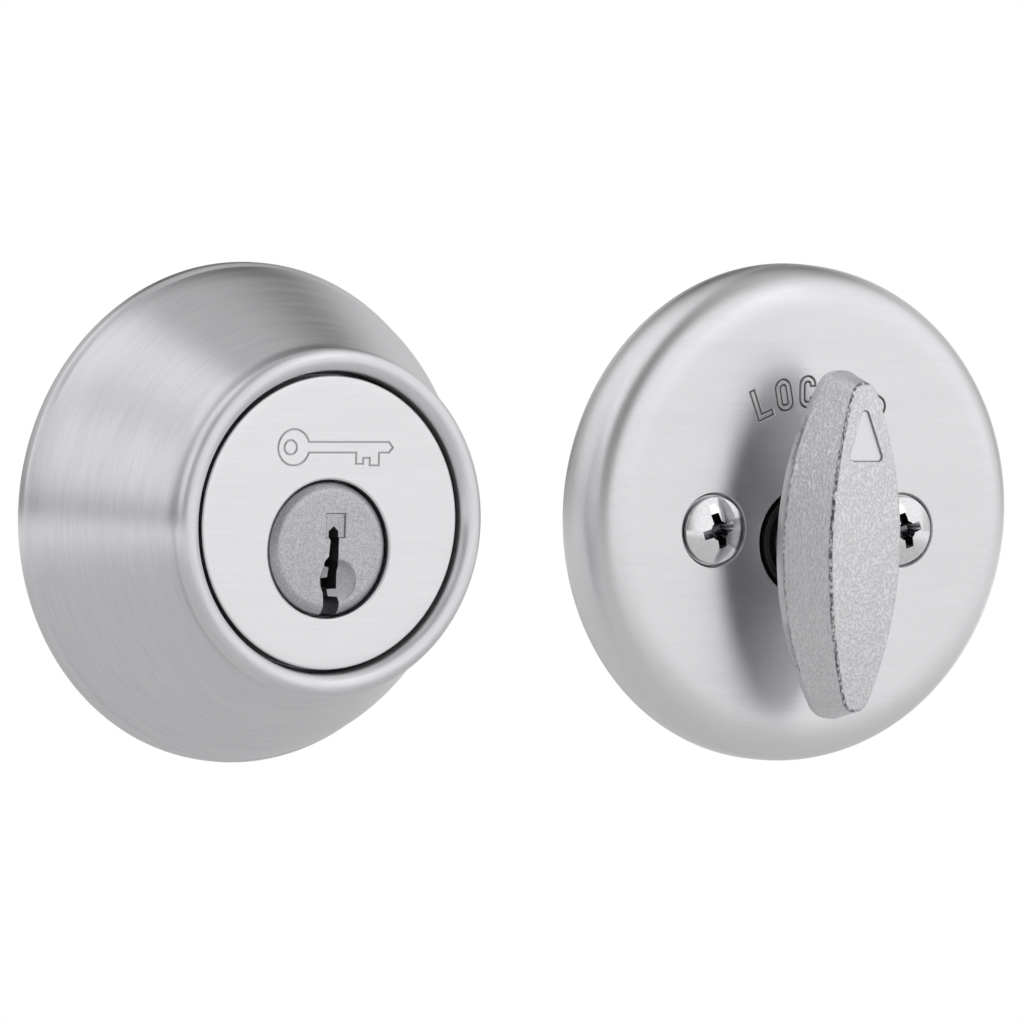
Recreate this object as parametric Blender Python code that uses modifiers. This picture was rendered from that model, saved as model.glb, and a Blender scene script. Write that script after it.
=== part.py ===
"""Single cylinder deadbolt trim: the key side and the thumbturn side, laid out side by side.

The door face is the plane y = 0 and the trim faces -Y. The origin is the point where the key's
axis meets the door face. Lengths are in metres. Each half is built in its own frame, with x to
the right, y up and z out of the door, and its parent empty turns that frame upright.
"""

from math import atan2, ceil, cos, hypot, pi, radians, sin

import bmesh
import bpy
from mathutils import Matrix, Vector

mm = 0.001

# Driving dimensions
clearance = 0.3 * mm  # between pieces that touch or run in each other
trimRadius = 33.25 * mm  # both roses, 2 5/8 in across
trimSpace = 17.5 * mm  # between the two halves as they are laid out
axisDrop = 3.5 * mm  # key and turn axes below the centre of the trim
screwOffset = 14.6 * mm  # from the axis to each mounting screw
screwRise = 1.5 * mm  # screws above the axis

# Key side
collarWall = 1.5 * mm
lipDepth = 2.2 * mm
rimRadius = 23.3 * mm
rimWidth = 3.2 * mm
rimCrest = 26.0 * mm
rimDrop = 1.6 * mm  # face disc below the crest of the rim
discThickness = 2.0 * mm
flangeThickness = 1.2 * mm
ledgeOverlap = 1.2 * mm  # collar ledge caught behind the housing's flange
ledgeThickness = 1.6 * mm
plugRecess = 1.0 * mm
plugHeadRadius = 8.9 * mm
plugHeadDepth = 3.2 * mm
plugHeadChamfer = 1.0 * mm
plugRadius = 7.0 * mm
barrelWall = 1.3 * mm
pinCount = 5
pinPitch = 3.8 * mm
pinRadius = 1.4 * mm
pinWall = 1.5 * mm  # metal beyond the last pin
keyPinLengths = (5.2 * mm, 4.1 * mm, 4.8 * mm, 3.8 * mm, 4.4 * mm)
driverLength = 4.8 * mm
springLength = 6.0 * mm
springWire = 0.2 * mm
springTurns = 5
coverThickness = 0.7 * mm
towerWall = 2.8 * mm
postRadius = 3.3 * mm
postReach = 22.0 * mm  # behind the door face
postBore = 20.0 * mm
clipThickness = 0.7 * mm
clipGroove = 0.9 * mm  # depth of a retaining ring's groove
driveDog = 2.4 * mm
dogAngle = radians(22)
tailHead = 1.5 * mm
tailRadius = 3.0 * mm
tailFlat = 1.9 * mm  # from the axis to the flat of the D-bar
tailReach = 50.0 * mm  # behind the door face

# Thumbturn side
roseDepth = 8.5 * mm
roseWall = 1.3 * mm
roseRim = 3.8 * mm  # straight side wall
roseShoulder = 6.8 * mm
roseCrown = 0.15 * mm
plateThickness = 1.2 * mm
sleeveWall = 1.6 * mm
bushRadius = 6.96 * mm
bushFlange = 2.3 * mm
bushStand = 0.5 * mm  # above the rose
spindleRadius = 4.5 * mm
spindleReach = 4.0 * mm  # behind the door face
socketDepth = 12.0 * mm
neckRadius = 5.6 * mm
turnGap = 6.8 * mm  # finger gap between rose and turn
turnHeight = 46.6 * mm
turnWidth = 18.3 * mm
turnTip = 3.6 * mm
turnFlange = 2.1 * mm
turnSlope = 6.0 * mm
turnFaceHeight = 44.0 * mm
turnFaceWidth = 10.7 * mm
turnFaceTip = 2.0 * mm
pointerHeight = 6.6 * mm
pointerWidth = 4.9 * mm
pointerTop = 17.4 * mm  # pointer's tip above the axis
pointerSink = 0.35 * mm
washerRadius = 8.5 * mm
screwRadius = 2.0 * mm
screwHeadRadius = 4.5 * mm
screwDome = 1.4 * mm
screwSeat = 0.5 * mm  # head's recess in the rose
screwReach = 25.0 * mm  # behind the door face
recessDepth = 1.9 * mm
recessWidth = 1.1 * mm
recessSpan = 4.6 * mm

# Sizes that follow from them
halfSpacing = 2 * trimRadius + trimSpace
pocketRadius = rimRadius - rimWidth
beadRadius = rimWidth / 2
discDepth = rimCrest - rimDrop
discRadius = pocketRadius - 0.6 * mm
flangeRadius = pocketRadius - 0.5 * mm
drumRadius = flangeRadius - ledgeOverlap
flangeTop = discDepth - discThickness - clearance
flangeFloor = flangeTop - flangeThickness
ledgeTop = flangeFloor - clearance
ledgeFloor = ledgeTop - ledgeThickness
plugFront = discDepth - plugRecess
plugStep = plugFront - plugHeadDepth
headBore = plugHeadRadius + clearance
plugBore = plugRadius + clearance
chamberRadius = pinRadius + clearance
firstPin = ledgeFloor - chamberRadius - clearance
lastPin = firstPin - (pinCount - 1) * pinPitch
boreEnd = lastPin - chamberRadius - pinWall
plugClipFront = boreEnd - clearance
plugClipBack = plugClipFront - clipThickness
plugEnd = plugClipBack - clipGroove
dogEnd = plugEnd - driveDog
tailFront = dogEnd - clearance
tailBack = tailFront - tailHead
tailClipFront = tailBack - clearance
tailClipBack = tailClipFront - clipThickness
barrelEnd = tailClipBack - 1.0 * mm
rearPocket = plugBore + 1.3 * mm
rearGroove = rearPocket + clipGroove
barrelRadius = rearGroove + barrelWall
shearLine = plugBore
driverTop = shearLine + driverLength
springFoot = driverTop + clearance
springHead = springFoot + springLength
channelFloor = springHead
towerTop = channelFloor + clearance + coverThickness
towerHalf = chamberRadius + towerWall
coverHalf = chamberRadius + 1.0 * mm
postHole = screwRadius + 0.35 * mm

roseInside = trimRadius - roseWall
roseCeiling = roseDepth - roseCrown - roseWall
seatFloor = roseDepth - roseCrown - screwSeat
plateBack = 0.2 * mm
plateFront = plateBack + plateThickness
bushFront = roseDepth + bushStand
bushHole = bushRadius + clearance
bushBore = spindleRadius + clearance
sleeveTop = roseCeiling - clearance
screwHole = screwRadius + 0.4 * mm
neckBack = bushFront + clearance
turnBack = roseDepth + turnGap
flangeFront = turnBack + turnFlange
turnFront = flangeFront + turnSlope
socketRadius = tailRadius + clearance
socketFlat = tailFlat + clearance
washerFront = plateBack - clearance
washerBack = washerFront - clipThickness
turnClipFront = washerBack - clearance
turnClipBack = turnClipFront - clipThickness
spindleGroove = spindleRadius - 0.6 * mm
headBottom = seatFloor + clearance

roundSteps = 64  # large turned pieces
smallSteps = 32
screwSteps = 24
pinSteps = 14


def makeCollection(name):
    collection = bpy.data.collections.new(name)
    bpy.context.scene.collection.children.link(collection)
    return collection


def makeMaterial(name, colour, metallic, roughness):
    material = bpy.data.materials.new(name)
    material.use_nodes = True
    shader = material.node_tree.nodes["Principled BSDF"]
    shader.inputs["Base Color"].default_value = (*colour, 1)
    shader.inputs["Metallic"].default_value = metallic
    shader.inputs["Roughness"].default_value = roughness
    material.diffuse_color = (*colour, 1)
    return material


def makeHalf(name, x):
    """The empty that turns a half's frame upright: its z points out of the door."""
    half = bpy.data.objects.new(name, None)
    half.location = (x, 0, 0)
    half.rotation_euler = (pi / 2, 0, 0)
    parts.objects.link(half)
    return half


def place(name, mesh, half, origin=(0, 0, 0), material=None):
    """A mesh as an object of a half, kept as a part if it has a material and as a cutter if not."""
    obj = bpy.data.objects.new(name, mesh)
    obj.parent = half
    obj.location = origin
    if material is None:
        cutters.objects.link(obj)
        obj.hide_render = True
        obj.display_type = "WIRE"
        return obj
    parts.objects.link(obj)
    mesh.materials.append(material)
    return obj


def turned(name, profile, half, origin=(0, 0, 0), material=None, steps=roundSteps):
    """A (radius, z) profile turned about the object's z, closed if neither end is on the axis."""
    mesh = bpy.data.meshes.new(name)
    count = len(profile)
    edges = [(i, i + 1) for i in range(count - 1)]
    if profile[0][0] > 0:
        edges.append((count - 1, 0))
    mesh.from_pydata([(r, 0, z) for r, z in profile], edges, [])
    obj = place(name, mesh, half, origin, material)
    screw = obj.modifiers.new("Turn", "SCREW")
    screw.steps = steps
    screw.render_steps = steps
    screw.use_merge_vertices = True
    screw.merge_threshold = 0.00001
    return obj


def rod(radius, low, high, chamfer=0.0):
    """The profile of a plain cylinder between two depths."""
    if chamfer == 0:
        return [(0, high), (radius, high), (radius, low), (0, low)]
    return [(0, high), (radius - chamfer, high), (radius, high - chamfer), (radius, low), (0, low)]


def ring(inner, outer, low, high):
    return [(inner, high), (outer, high), (outer, low), (inner, low)]


def arc(centre, radius, start, end, steps):
    """Points on a circle's arc, both ends included; radius may be a pair for an ellipse."""
    across, along = radius if isinstance(radius, tuple) else (radius, radius)
    angles = [start + (end - start) * i / steps for i in range(steps + 1)]
    return [(centre[0] + across * cos(a), centre[1] + along * sin(a)) for a in angles]


def block(name, x, y, z, half, material=None):
    """A box between two limits along each axis of the half."""
    bm = bmesh.new()
    bmesh.ops.create_cube(bm, size=1)
    size = Vector((x[1] - x[0], y[1] - y[0], z[1] - z[0]))
    middle = Vector((x[0] + x[1], y[0] + y[1], z[0] + z[1])) / 2
    bm.transform(Matrix.Translation(middle) @ Matrix.Diagonal((*size, 1)))
    mesh = bpy.data.meshes.new(name)
    bm.to_mesh(mesh)
    bm.free()
    return place(name, mesh, half, material=material)


def extruded(name, outline, low, high, half, origin=(0, 0, 0), material=None):
    """A flat outline filled and extruded between two depths, as a mesh."""
    curve = bpy.data.curves.new(name, "CURVE")
    curve.dimensions = "2D"
    curve.fill_mode = "BOTH"
    curve.extrude = (high - low) / 2
    spline = curve.splines.new("POLY")
    spline.points.add(len(outline) - 1)
    for point, (x, y) in zip(spline.points, outline):
        point.co = (x, y, 0, 1)
    spline.use_cyclic_u = True
    drawn = bpy.data.objects.new(name, curve)
    bpy.context.scene.collection.objects.link(drawn)
    graph = bpy.context.evaluated_depsgraph_get()
    mesh = bpy.data.meshes.new_from_object(drawn.evaluated_get(graph))
    bpy.data.objects.remove(drawn)
    bpy.data.curves.remove(curve)
    bm = bmesh.new()
    bm.from_mesh(mesh)
    bmesh.ops.remove_doubles(bm, verts=bm.verts, dist=0.000001)
    bmesh.ops.recalc_face_normals(bm, faces=bm.faces)
    bm.transform(Matrix.Translation((0, 0, (low + high) / 2)))
    bm.to_mesh(mesh)
    bm.free()
    mesh.name = name
    return place(name, mesh, half, origin, material)


def combine(obj, other, operation):
    """A Boolean with the manifold solver: EXACT leaves open edges on these fans about an axis."""
    modifier = obj.modifiers.new(other.name, "BOOLEAN")
    modifier.operation = operation
    modifier.solver = "MANIFOLD"
    modifier.object = other


def cut(obj, other):
    combine(obj, other, "DIFFERENCE")


def join(obj, other):
    combine(obj, other, "UNION")


def smooth(obj, angle=30):
    obj.data.shade_smooth()
    obj.data.set_sharp_from_angle(angle=radians(angle))


def sector(inner, outer, middle, spread):
    """The outline of a ring's sector, spread to each side of a middle angle."""
    steps = max(3, ceil(spread / radians(7)))
    outside = arc((0, 0), outer, middle - spread, middle + spread, steps)
    inside = arc((0, 0), inner, middle + spread, middle - spread, steps)
    return outside + inside


def dOutline(radius, flat):
    """A circle with a flat across its lower side."""
    start = -atan2(flat, (radius**2 - flat**2) ** 0.5)
    return arc((0, 0), radius, start, pi - start, 18)


def lens(height, width, tip, steps=11):
    """Two long arcs that meet in rounded tips, for the outline of the turn."""
    rise = height / 2 - tip
    reach = width / 2 - tip
    offset = (rise**2 - reach**2) / (2 * reach)
    side = offset + width / 2
    meet = atan2(rise, offset)
    right = arc((-offset, 0), side, -meet, meet, steps)
    top = arc((0, rise), tip, meet, pi - meet, 6)
    left = arc((offset, 0), side, pi - meet, pi + meet, steps)
    bottom = arc((0, -rise), tip, pi + meet, 2 * pi - meet, 6)
    return right[:-1] + top[:-1] + left[:-1] + bottom[:-1]


def makeCollar(half, material):
    """The flared collar: rolled rim, cone and lip outside, with a ledge that the flange clamps."""
    beadCentre = (rimRadius - beadRadius, rimCrest - beadRadius)
    bead = arc(beadCentre, beadRadius, pi, radians(-55), 8)
    coneTop = bead[-1][1] - 0.3 * mm
    coneRadius = bead[-1][0] + 0.15 * mm
    lipRadius = trimRadius - 0.55 * mm
    slope = (lipRadius - coneRadius) / (coneTop - lipDepth)
    inside = lipRadius - slope * (ledgeFloor - lipDepth) - collarWall
    outer = bead + [(coneRadius, coneTop), (lipRadius, lipDepth), (trimRadius, lipDepth - 0.7 * mm), (trimRadius, 0)]
    lipInside = lipRadius - collarWall
    inner = [(lipInside, 0), (lipInside, lipDepth), (inside, ledgeFloor)]
    ledge = [(drumRadius + clearance, ledgeFloor), (drumRadius + clearance, ledgeTop), (pocketRadius, ledgeTop)]
    collar = turned("exterior_collar", outer + inner + ledge, half, (0, axisDrop, 0), material, steps=roundSteps)
    smooth(collar)


def makeFaceDisc(half, material):
    disc = turned("face_disc", rod(discRadius, discDepth - discThickness, discDepth, 0.5 * mm), half,
                  (0, axisDrop, 0), material)
    hole = turned("face_disc_hole", rod(headBore, discDepth - 2 * discThickness, rimCrest), half, steps=smallSteps)
    cut(disc, hole)
    smooth(disc)


def screwPlaces():
    return {"left": (-screwOffset, screwRise, 0), "right": (screwOffset, screwRise, 0)}


def makeHousing(half, material):
    """The zinc casting: flange and drum, barrel, pin tower, two tapped posts and their web."""
    drum = [(0, flangeTop), (flangeRadius, flangeTop), (flangeRadius, flangeFloor),
            (drumRadius, flangeFloor), (drumRadius, ledgeFloor), (0, ledgeFloor)]
    housing = turned("cylinder_housing", drum, half, (0, axisDrop, 0), material)
    overlap = ledgeFloor + 0.8 * mm
    join(housing, turned("housing_barrel", rod(barrelRadius, barrelEnd, overlap), half, steps=smallSteps))
    join(housing, block("housing_tower", (-towerHalf, towerHalf), (0, towerTop), (boreEnd + 0.5 * mm, overlap), half))
    webHalf = 1.0 * mm
    join(housing, block("housing_web", (-screwOffset, screwOffset), (screwRise - webHalf, screwRise + webHalf),
                        (0, overlap - 0.2 * mm), half))
    for side, spot in screwPlaces().items():
        join(housing, turned(f"housing_post_{side}", rod(postRadius, -postReach, overlap), half, spot, steps=smallSteps))
        hole = rod(postHole, -postReach - mm, postBore - postReach)
        cut(housing, turned(f"housing_post_hole_{side}", hole, half, spot, steps=screwSteps))
    bore = [(0, rimCrest), (headBore, rimCrest), (headBore, plugStep - clearance), (plugBore, plugStep - clearance),
            (plugBore, boreEnd), (rearPocket, boreEnd), (rearPocket, tailClipFront + clearance / 2),
            (rearGroove, tailClipFront + clearance / 2), (rearGroove, tailClipBack - clearance / 2),
            (rearPocket, tailClipBack - clearance / 2), (rearPocket, barrelEnd - mm), (0, barrelEnd - mm)]
    cut(housing, turned("housing_bore", bore, half, steps=smallSteps))
    cut(housing, block("housing_cover_channel", (-coverHalf - clearance, coverHalf + clearance),
                       (channelFloor, towerTop + mm), (boreEnd - mm, ledgeFloor), half))
    for number in range(pinCount):
        chamber = pinBar(f"housing_chamber_{number + 1}", chamberRadius, plugBore - mm, channelFloor + 0.5 * mm, number, half)
        cut(housing, chamber)
    smooth(housing)


def pinDepth(number):
    return firstPin - number * pinPitch


def pinBar(name, radius, low, high, number, half, material=None, bevels=(0, 0)):
    """A pin or a chamber standing up the y axis, its lower and upper edges bevelled if asked."""
    profile = [(0, high), (radius - bevels[1], high), (radius, high - bevels[1]),
               (radius, low + bevels[0]), (radius - bevels[0], low), (0, low)]
    kept = [p for i, p in enumerate(profile) if i == 0 or p != profile[i - 1]]
    bar = turned(name, [(r, z - low) for r, z in kept], half, (0, low, pinDepth(number)), material, steps=pinSteps)
    bar.rotation_euler = (-pi / 2, 0, 0)
    return bar


def keywayOutline():
    """The keyway seen from the front: a ward on the left, a lower one on the right, open below."""
    left = -0.2 * mm
    right = 1.3 * mm
    floor = -plugHeadRadius - mm
    return [
        (0.6 * mm, 3.1 * mm), (left, 2.4 * mm), (left, 1.4 * mm), (0, 1.2 * mm), (left, -1.0 * mm),
        (-0.75 * mm, -1.5 * mm), (-0.95 * mm, -2.2 * mm), (0, -2.4 * mm), (-0.15 * mm, -3.7 * mm),
        (-1.3 * mm, -3.8 * mm), (-0.9 * mm, -6.5 * mm), (-0.95 * mm, floor), (1.6 * mm, floor),
        (1.5 * mm, -6.3 * mm), (0, -6.2 * mm), (-0.2 * mm, -5.3 * mm), (right, -5.2 * mm),
        (right, -2.9 * mm), (1.5 * mm, -2.1 * mm), (right, -1.4 * mm), (right, 2.4 * mm),
    ]


def makePlug(half, material):
    profile = [(0, plugFront), (plugHeadRadius - plugHeadChamfer, plugFront),
               (plugHeadRadius, plugFront - plugHeadChamfer), (plugHeadRadius, plugStep), (plugRadius, plugStep),
               (plugRadius, plugClipFront + clearance / 2), (plugRadius - clipGroove, plugClipFront + clearance / 2),
               (plugRadius - clipGroove, plugClipBack - clearance / 2), (plugRadius, plugClipBack - clearance / 2),
               (plugRadius, plugEnd), (0, plugEnd)]
    plug = turned("plug", profile, half, material=material, steps=smallSteps)
    dog = sector(tailRadius, plugRadius - mm, pi / 2, dogAngle)
    join(plug, extruded("plug_dog", dog, dogEnd, plugEnd + 0.6 * mm, half))
    cut(plug, extruded("plug_keyway", keywayOutline(), plugEnd + 0.7 * mm, plugFront + mm, half))
    for number in range(pinCount):
        cut(plug, pinBar(f"plug_chamber_{number + 1}", chamberRadius, 0.8 * mm, plugRadius + mm, number, half))
    sunk = plugFront - 0.25 * mm
    cut(plug, turned("plug_dimple", rod(2.8 * mm, sunk, plugFront + mm), half, (0.9 * mm, -3.8 * mm, 0), steps=screwSteps))
    cut(plug, block("plug_square", (-0.6 * mm, 2.2 * mm), (1.6 * mm, 4.7 * mm), (sunk + 0.1 * mm, plugFront + mm), half))
    smooth(plug)


def makeRetainer(name, inner, outer, low, high, half, material):
    """A C-shaped retaining ring, open at the bottom."""
    outline = sector(inner, outer, pi / 2, radians(152))
    extruded(name, outline, low, high, half, material=material)


def makeSpring(name, number, half, material):
    """A closed-end coil between a driver pin and the cover, its helix worked out turn by turn."""
    coilRadius = pinRadius - springWire
    perTurn = 7
    low = springFoot + springWire
    high = springHead - springWire
    steps = springTurns * perTurn
    curve = bpy.data.curves.new(name, "CURVE")
    curve.dimensions = "3D"
    curve.bevel_depth = springWire
    curve.bevel_resolution = 0
    curve.use_fill_caps = True
    spline = curve.splines.new("POLY")
    spline.points.add(steps)
    for i, point in enumerate(spline.points):
        turn = 2 * pi * i / perTurn
        point.co = (coilRadius * cos(turn), (high - low) * i / steps, coilRadius * sin(turn), 1)
    coil = bpy.data.objects.new(name, curve)
    coil.parent = half
    coil.location = (0, low, pinDepth(number))
    parts.objects.link(coil)
    curve.materials.append(material)


def makePinStacks(half, brass, steel):
    """Five stacks standing at the shear line: key pin in the plug, driver pin and spring above."""
    keyTop = plugRadius - clearance
    for number in range(pinCount):
        label = number + 1
        foot = keyTop - keyPinLengths[number]
        key = pinBar(f"key_pin_{label}", pinRadius, foot, keyTop, number, half, brass, (0.6 * mm, 0.15 * mm))
        driver = pinBar(f"driver_pin_{label}", pinRadius, shearLine, driverTop, number, half, steel, (0.2 * mm, 0.2 * mm))
        smooth(key)
        smooth(driver)
        makeSpring(f"pin_spring_{label}", number, half, steel)


def makeTailpiece(half, material):
    """The D-bar that works the bolt: a head with a driving dog, caught by a ring in the barrel."""
    head = rod(rearPocket - clearance, tailBack, tailFront)
    tail = turned("tailpiece", head, half, material=material, steps=smallSteps)
    dog = sector(tailRadius, plugRadius - mm, -pi / 2, dogAngle)
    join(tail, extruded("tailpiece_dog", dog, tailFront - 0.5 * mm, plugEnd - clearance, half))
    join(tail, extruded("tailpiece_bar", dOutline(tailRadius, tailFlat), -tailReach, tailBack + 0.5 * mm, half))
    smooth(tail)


def makeRose(half, material):
    """The dished rose, with the turn's hole below its centre and two sunk screw seats."""
    shoulder = roseDepth - roseCrown - roseRim
    outer = arc((trimRadius - roseShoulder, roseRim), (roseShoulder, shoulder), pi / 2, 0, 6)
    inner = arc((roseInside - roseShoulder, roseRim), (roseShoulder, roseCeiling - roseRim), 0, pi / 2, 4)
    profile = [(0, roseDepth), (trimRadius / 2, roseDepth - roseCrown / 3)] + outer
    profile += [(trimRadius, 0), (roseInside, 0)] + inner + [(0, roseCeiling)]
    rose = turned("interior_rose", profile, half, (0, axisDrop, 0), material, steps=roundSteps)
    cut(rose, turned("rose_turn_hole", rod(bushHole, plateFront, bushFront + mm), half, steps=smallSteps))
    for side, spot in screwPlaces().items():
        seat = rod(screwHeadRadius + 0.4 * mm, seatFloor, bushFront)
        cut(rose, turned(f"rose_seat_{side}", seat, half, spot, steps=screwSteps))
        cut(rose, turned(f"rose_screw_hole_{side}", rod(screwHole, plateFront, bushFront), half, spot, steps=screwSteps))
    smooth(rose)


def makeBackingPlate(half, material):
    """The steel plate behind the rose, with a sleeve that carries each screw's clamping."""
    plate = turned("backing_plate", rod(roseInside - 0.5 * mm, plateBack, plateFront), half, (0, axisDrop, 0), material)
    for side, spot in screwPlaces().items():
        tube = rod(screwHole + sleeveWall, plateBack + 0.2 * mm, sleeveTop)
        join(plate, turned(f"plate_sleeve_{side}", tube, half, spot, steps=smallSteps))
        hole = rod(screwHole, plateBack - mm, roseDepth)
        cut(plate, turned(f"plate_screw_hole_{side}", hole, half, spot, steps=screwSteps))
    cut(plate, turned("plate_turn_hole", rod(bushHole, plateBack - mm, sleeveTop), half, steps=smallSteps))
    smooth(plate)


def makeBushing(half, material):
    flangeTopHere = roseCeiling - clearance
    flangeEdge = bushRadius + bushFlange
    profile = [(bushBore, bushFront), (bushRadius, bushFront), (bushRadius, flangeTopHere),
               (flangeEdge, flangeTopHere), (flangeEdge, flangeTopHere - mm), (bushRadius, flangeTopHere - mm),
               (bushRadius, plateBack), (bushBore, plateBack)]
    smooth(turned("turn_bushing", profile, half, material=material, steps=smallSteps))


def makeBlade(name, half, material):
    """The grip: a lens-shaped flange, then sides that slope in to a narrower lens-shaped face."""
    back = lens(turnHeight, turnWidth, turnTip)
    face = lens(turnFaceHeight, turnFaceWidth, turnFaceTip)
    rings = [(back, turnBack), (back, flangeFront), (face, turnFront)]
    bm = bmesh.new()
    loops = [[bm.verts.new((x, y, z)) for x, y in outline] for outline, z in rings]
    for lower, upper in zip(loops, loops[1:]):
        count = len(lower)
        for i in range(count):
            j = (i + 1) % count
            bm.faces.new((lower[i], lower[j], upper[j], upper[i]))
    bm.faces.new(reversed(loops[0]))
    bm.faces.new(loops[-1])
    mesh = bpy.data.meshes.new(name)
    bm.to_mesh(mesh)
    bm.free()
    return place(name, mesh, half, material=material)


def makeThumbturn(half, material):
    turn = makeBlade("thumbturn", half, material)
    spindle = [(0, turnBack + mm), (neckRadius, turnBack + mm), (neckRadius, neckBack), (spindleRadius, neckBack),
               (spindleRadius, turnClipFront + clearance / 2), (spindleGroove, turnClipFront + clearance / 2),
               (spindleGroove, turnClipBack - clearance / 2), (spindleRadius, turnClipBack - clearance / 2),
               (spindleRadius, -spindleReach), (0, -spindleReach)]
    join(turn, turned("turn_spindle", spindle, half, steps=smallSteps))
    socket = dOutline(socketRadius, socketFlat)
    cut(turn, extruded("turn_socket", socket, -spindleReach - mm, socketDepth - spindleReach, half))
    corner = 0.5 * mm
    low = pointerTop - pointerHeight
    slant = atan2(pointerHeight, pointerWidth / 2)
    pointer = (arc((0, pointerTop - corner), corner, pi / 2 - slant, pi / 2 + slant, 4)
               + arc((corner - pointerWidth / 2, low + corner), corner, pi / 2 + slant, 3 * pi / 2, 4)
               + arc((pointerWidth / 2 - corner, low + corner), corner, -pi / 2, pi / 2 - slant, 4))
    cut(turn, extruded("turn_pointer", pointer, turnFront - pointerSink, turnFront + mm, half))
    smooth(turn)


def makeScrew(side, spot, half, material):
    """An oval-head machine screw with a cross recess."""
    edge = headBottom + 0.5 * mm
    sagitta = screwDome
    domeRadius = (screwHeadRadius**2 + sagitta**2) / (2 * sagitta)
    spread = atan2(screwHeadRadius, domeRadius - sagitta)
    dome = arc((0, edge + sagitta - domeRadius), domeRadius, pi / 2, pi / 2 - spread, 5)
    profile = [(0, dome[0][1])] + dome[1:]
    profile += [(screwHeadRadius, headBottom), (screwRadius, headBottom), (screwRadius, mm - screwReach)]
    profile += [(screwRadius - 0.8 * mm, -screwReach), (0, -screwReach)]
    screw = turned(f"mounting_screw_{side}", profile, half, spot, material, steps=screwSteps)
    top = dome[0][1]
    for arm, (across, along) in enumerate(((recessWidth, recessSpan), (recessSpan, recessWidth))):
        cutter = block(f"screw_recess_{side}_{arm + 1}", (-across / 2, across / 2), (-along / 2, along / 2),
                       (top - recessDepth, top + mm), half)
        cutter.location = spot
        for vertex in cutter.data.vertices:
            if vertex.co.z < top:
                vertex.co.x *= 0.55
                vertex.co.y *= 0.55
        cut(screw, cutter)
    smooth(screw)


for old in list(bpy.data.objects):
    bpy.data.objects.remove(old)

parts = makeCollection("deadbolt_lock")
cutters = makeCollection("cutters")
cutters.hide_render = True

satinChrome = makeMaterial("satin_chrome", (0.62, 0.62, 0.63), 1.0, 0.32)
castChrome = makeMaterial("cast_satin_chrome", (0.56, 0.56, 0.57), 1.0, 0.45)
plugNickel = makeMaterial("blasted_plug_metal", (0.42, 0.42, 0.43), 1.0, 0.5)
zinc = makeMaterial("cast_zinc", (0.4, 0.41, 0.43), 1.0, 0.5)
steel = makeMaterial("zinc_plated_steel", (0.5, 0.51, 0.53), 1.0, 0.35)
brightSteel = makeMaterial("bright_screw_steel", (0.75, 0.75, 0.76), 1.0, 0.15)
brass = makeMaterial("brass", (0.7, 0.5, 0.2), 1.0, 0.3)
blackPlastic = makeMaterial("black_acetal", (0.02, 0.02, 0.022), 0.0, 0.45)

exterior = makeHalf("exterior_half", 0)
makeCollar(exterior, satinChrome)
makeFaceDisc(exterior, satinChrome)
makeHousing(exterior, zinc)
makePlug(exterior, plugNickel)
makeRetainer("plug_clip", plugRadius - clipGroove + clearance, rearPocket - clearance,
             plugClipBack, plugClipFront, exterior, steel)
makePinStacks(exterior, brass, steel)
block("spring_cover", (-coverHalf, coverHalf), (channelFloor + clearance, towerTop),
      (boreEnd + mm, ledgeFloor - clearance), exterior, brass)
makeTailpiece(exterior, steel)
makeRetainer("tailpiece_clip", tailRadius + 2 * mm, rearGroove - clearance,
             tailClipBack, tailClipFront, exterior, steel)

interior = makeHalf("interior_half", halfSpacing)
makeRose(interior, satinChrome)
makeBackingPlate(interior, steel)
makeBushing(interior, blackPlastic)
makeThumbturn(interior, castChrome)
smooth(turned("turn_washer", ring(bushBore, washerRadius, washerBack, washerFront), interior,
              material=steel, steps=smallSteps))
makeRetainer("turn_clip", spindleGroove + clearance, spindleRadius + 2.4 * mm,
             turnClipBack, turnClipFront, interior, steel)
for side, spot in screwPlaces().items():
    makeScrew(side, spot, interior, brightSteel)
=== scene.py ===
from math import pi, radians, sin, cos, atan2

import bpy
import numpy as np
from mathutils import Matrix, Vector


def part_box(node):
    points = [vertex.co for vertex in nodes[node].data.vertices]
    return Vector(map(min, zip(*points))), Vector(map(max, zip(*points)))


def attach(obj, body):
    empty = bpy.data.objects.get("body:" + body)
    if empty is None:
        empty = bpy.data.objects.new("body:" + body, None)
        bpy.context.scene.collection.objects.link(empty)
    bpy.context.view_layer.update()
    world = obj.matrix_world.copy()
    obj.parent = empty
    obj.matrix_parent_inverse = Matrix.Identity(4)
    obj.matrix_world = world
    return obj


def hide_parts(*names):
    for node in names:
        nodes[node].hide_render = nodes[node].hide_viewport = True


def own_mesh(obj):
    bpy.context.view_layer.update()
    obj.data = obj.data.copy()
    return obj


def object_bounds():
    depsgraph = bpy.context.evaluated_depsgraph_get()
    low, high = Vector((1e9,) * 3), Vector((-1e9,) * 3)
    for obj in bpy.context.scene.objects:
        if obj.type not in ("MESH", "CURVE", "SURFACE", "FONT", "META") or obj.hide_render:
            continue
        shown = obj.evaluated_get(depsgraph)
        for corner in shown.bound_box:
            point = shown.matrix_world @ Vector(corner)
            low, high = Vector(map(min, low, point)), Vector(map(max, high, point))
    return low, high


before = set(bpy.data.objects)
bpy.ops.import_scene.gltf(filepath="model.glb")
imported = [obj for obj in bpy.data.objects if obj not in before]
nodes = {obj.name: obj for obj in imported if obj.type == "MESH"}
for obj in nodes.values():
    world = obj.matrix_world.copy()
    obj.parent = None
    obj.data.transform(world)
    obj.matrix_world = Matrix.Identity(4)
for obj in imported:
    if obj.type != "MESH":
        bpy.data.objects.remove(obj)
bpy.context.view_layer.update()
scene = bpy.context.scene
mm = 0.001
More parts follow.
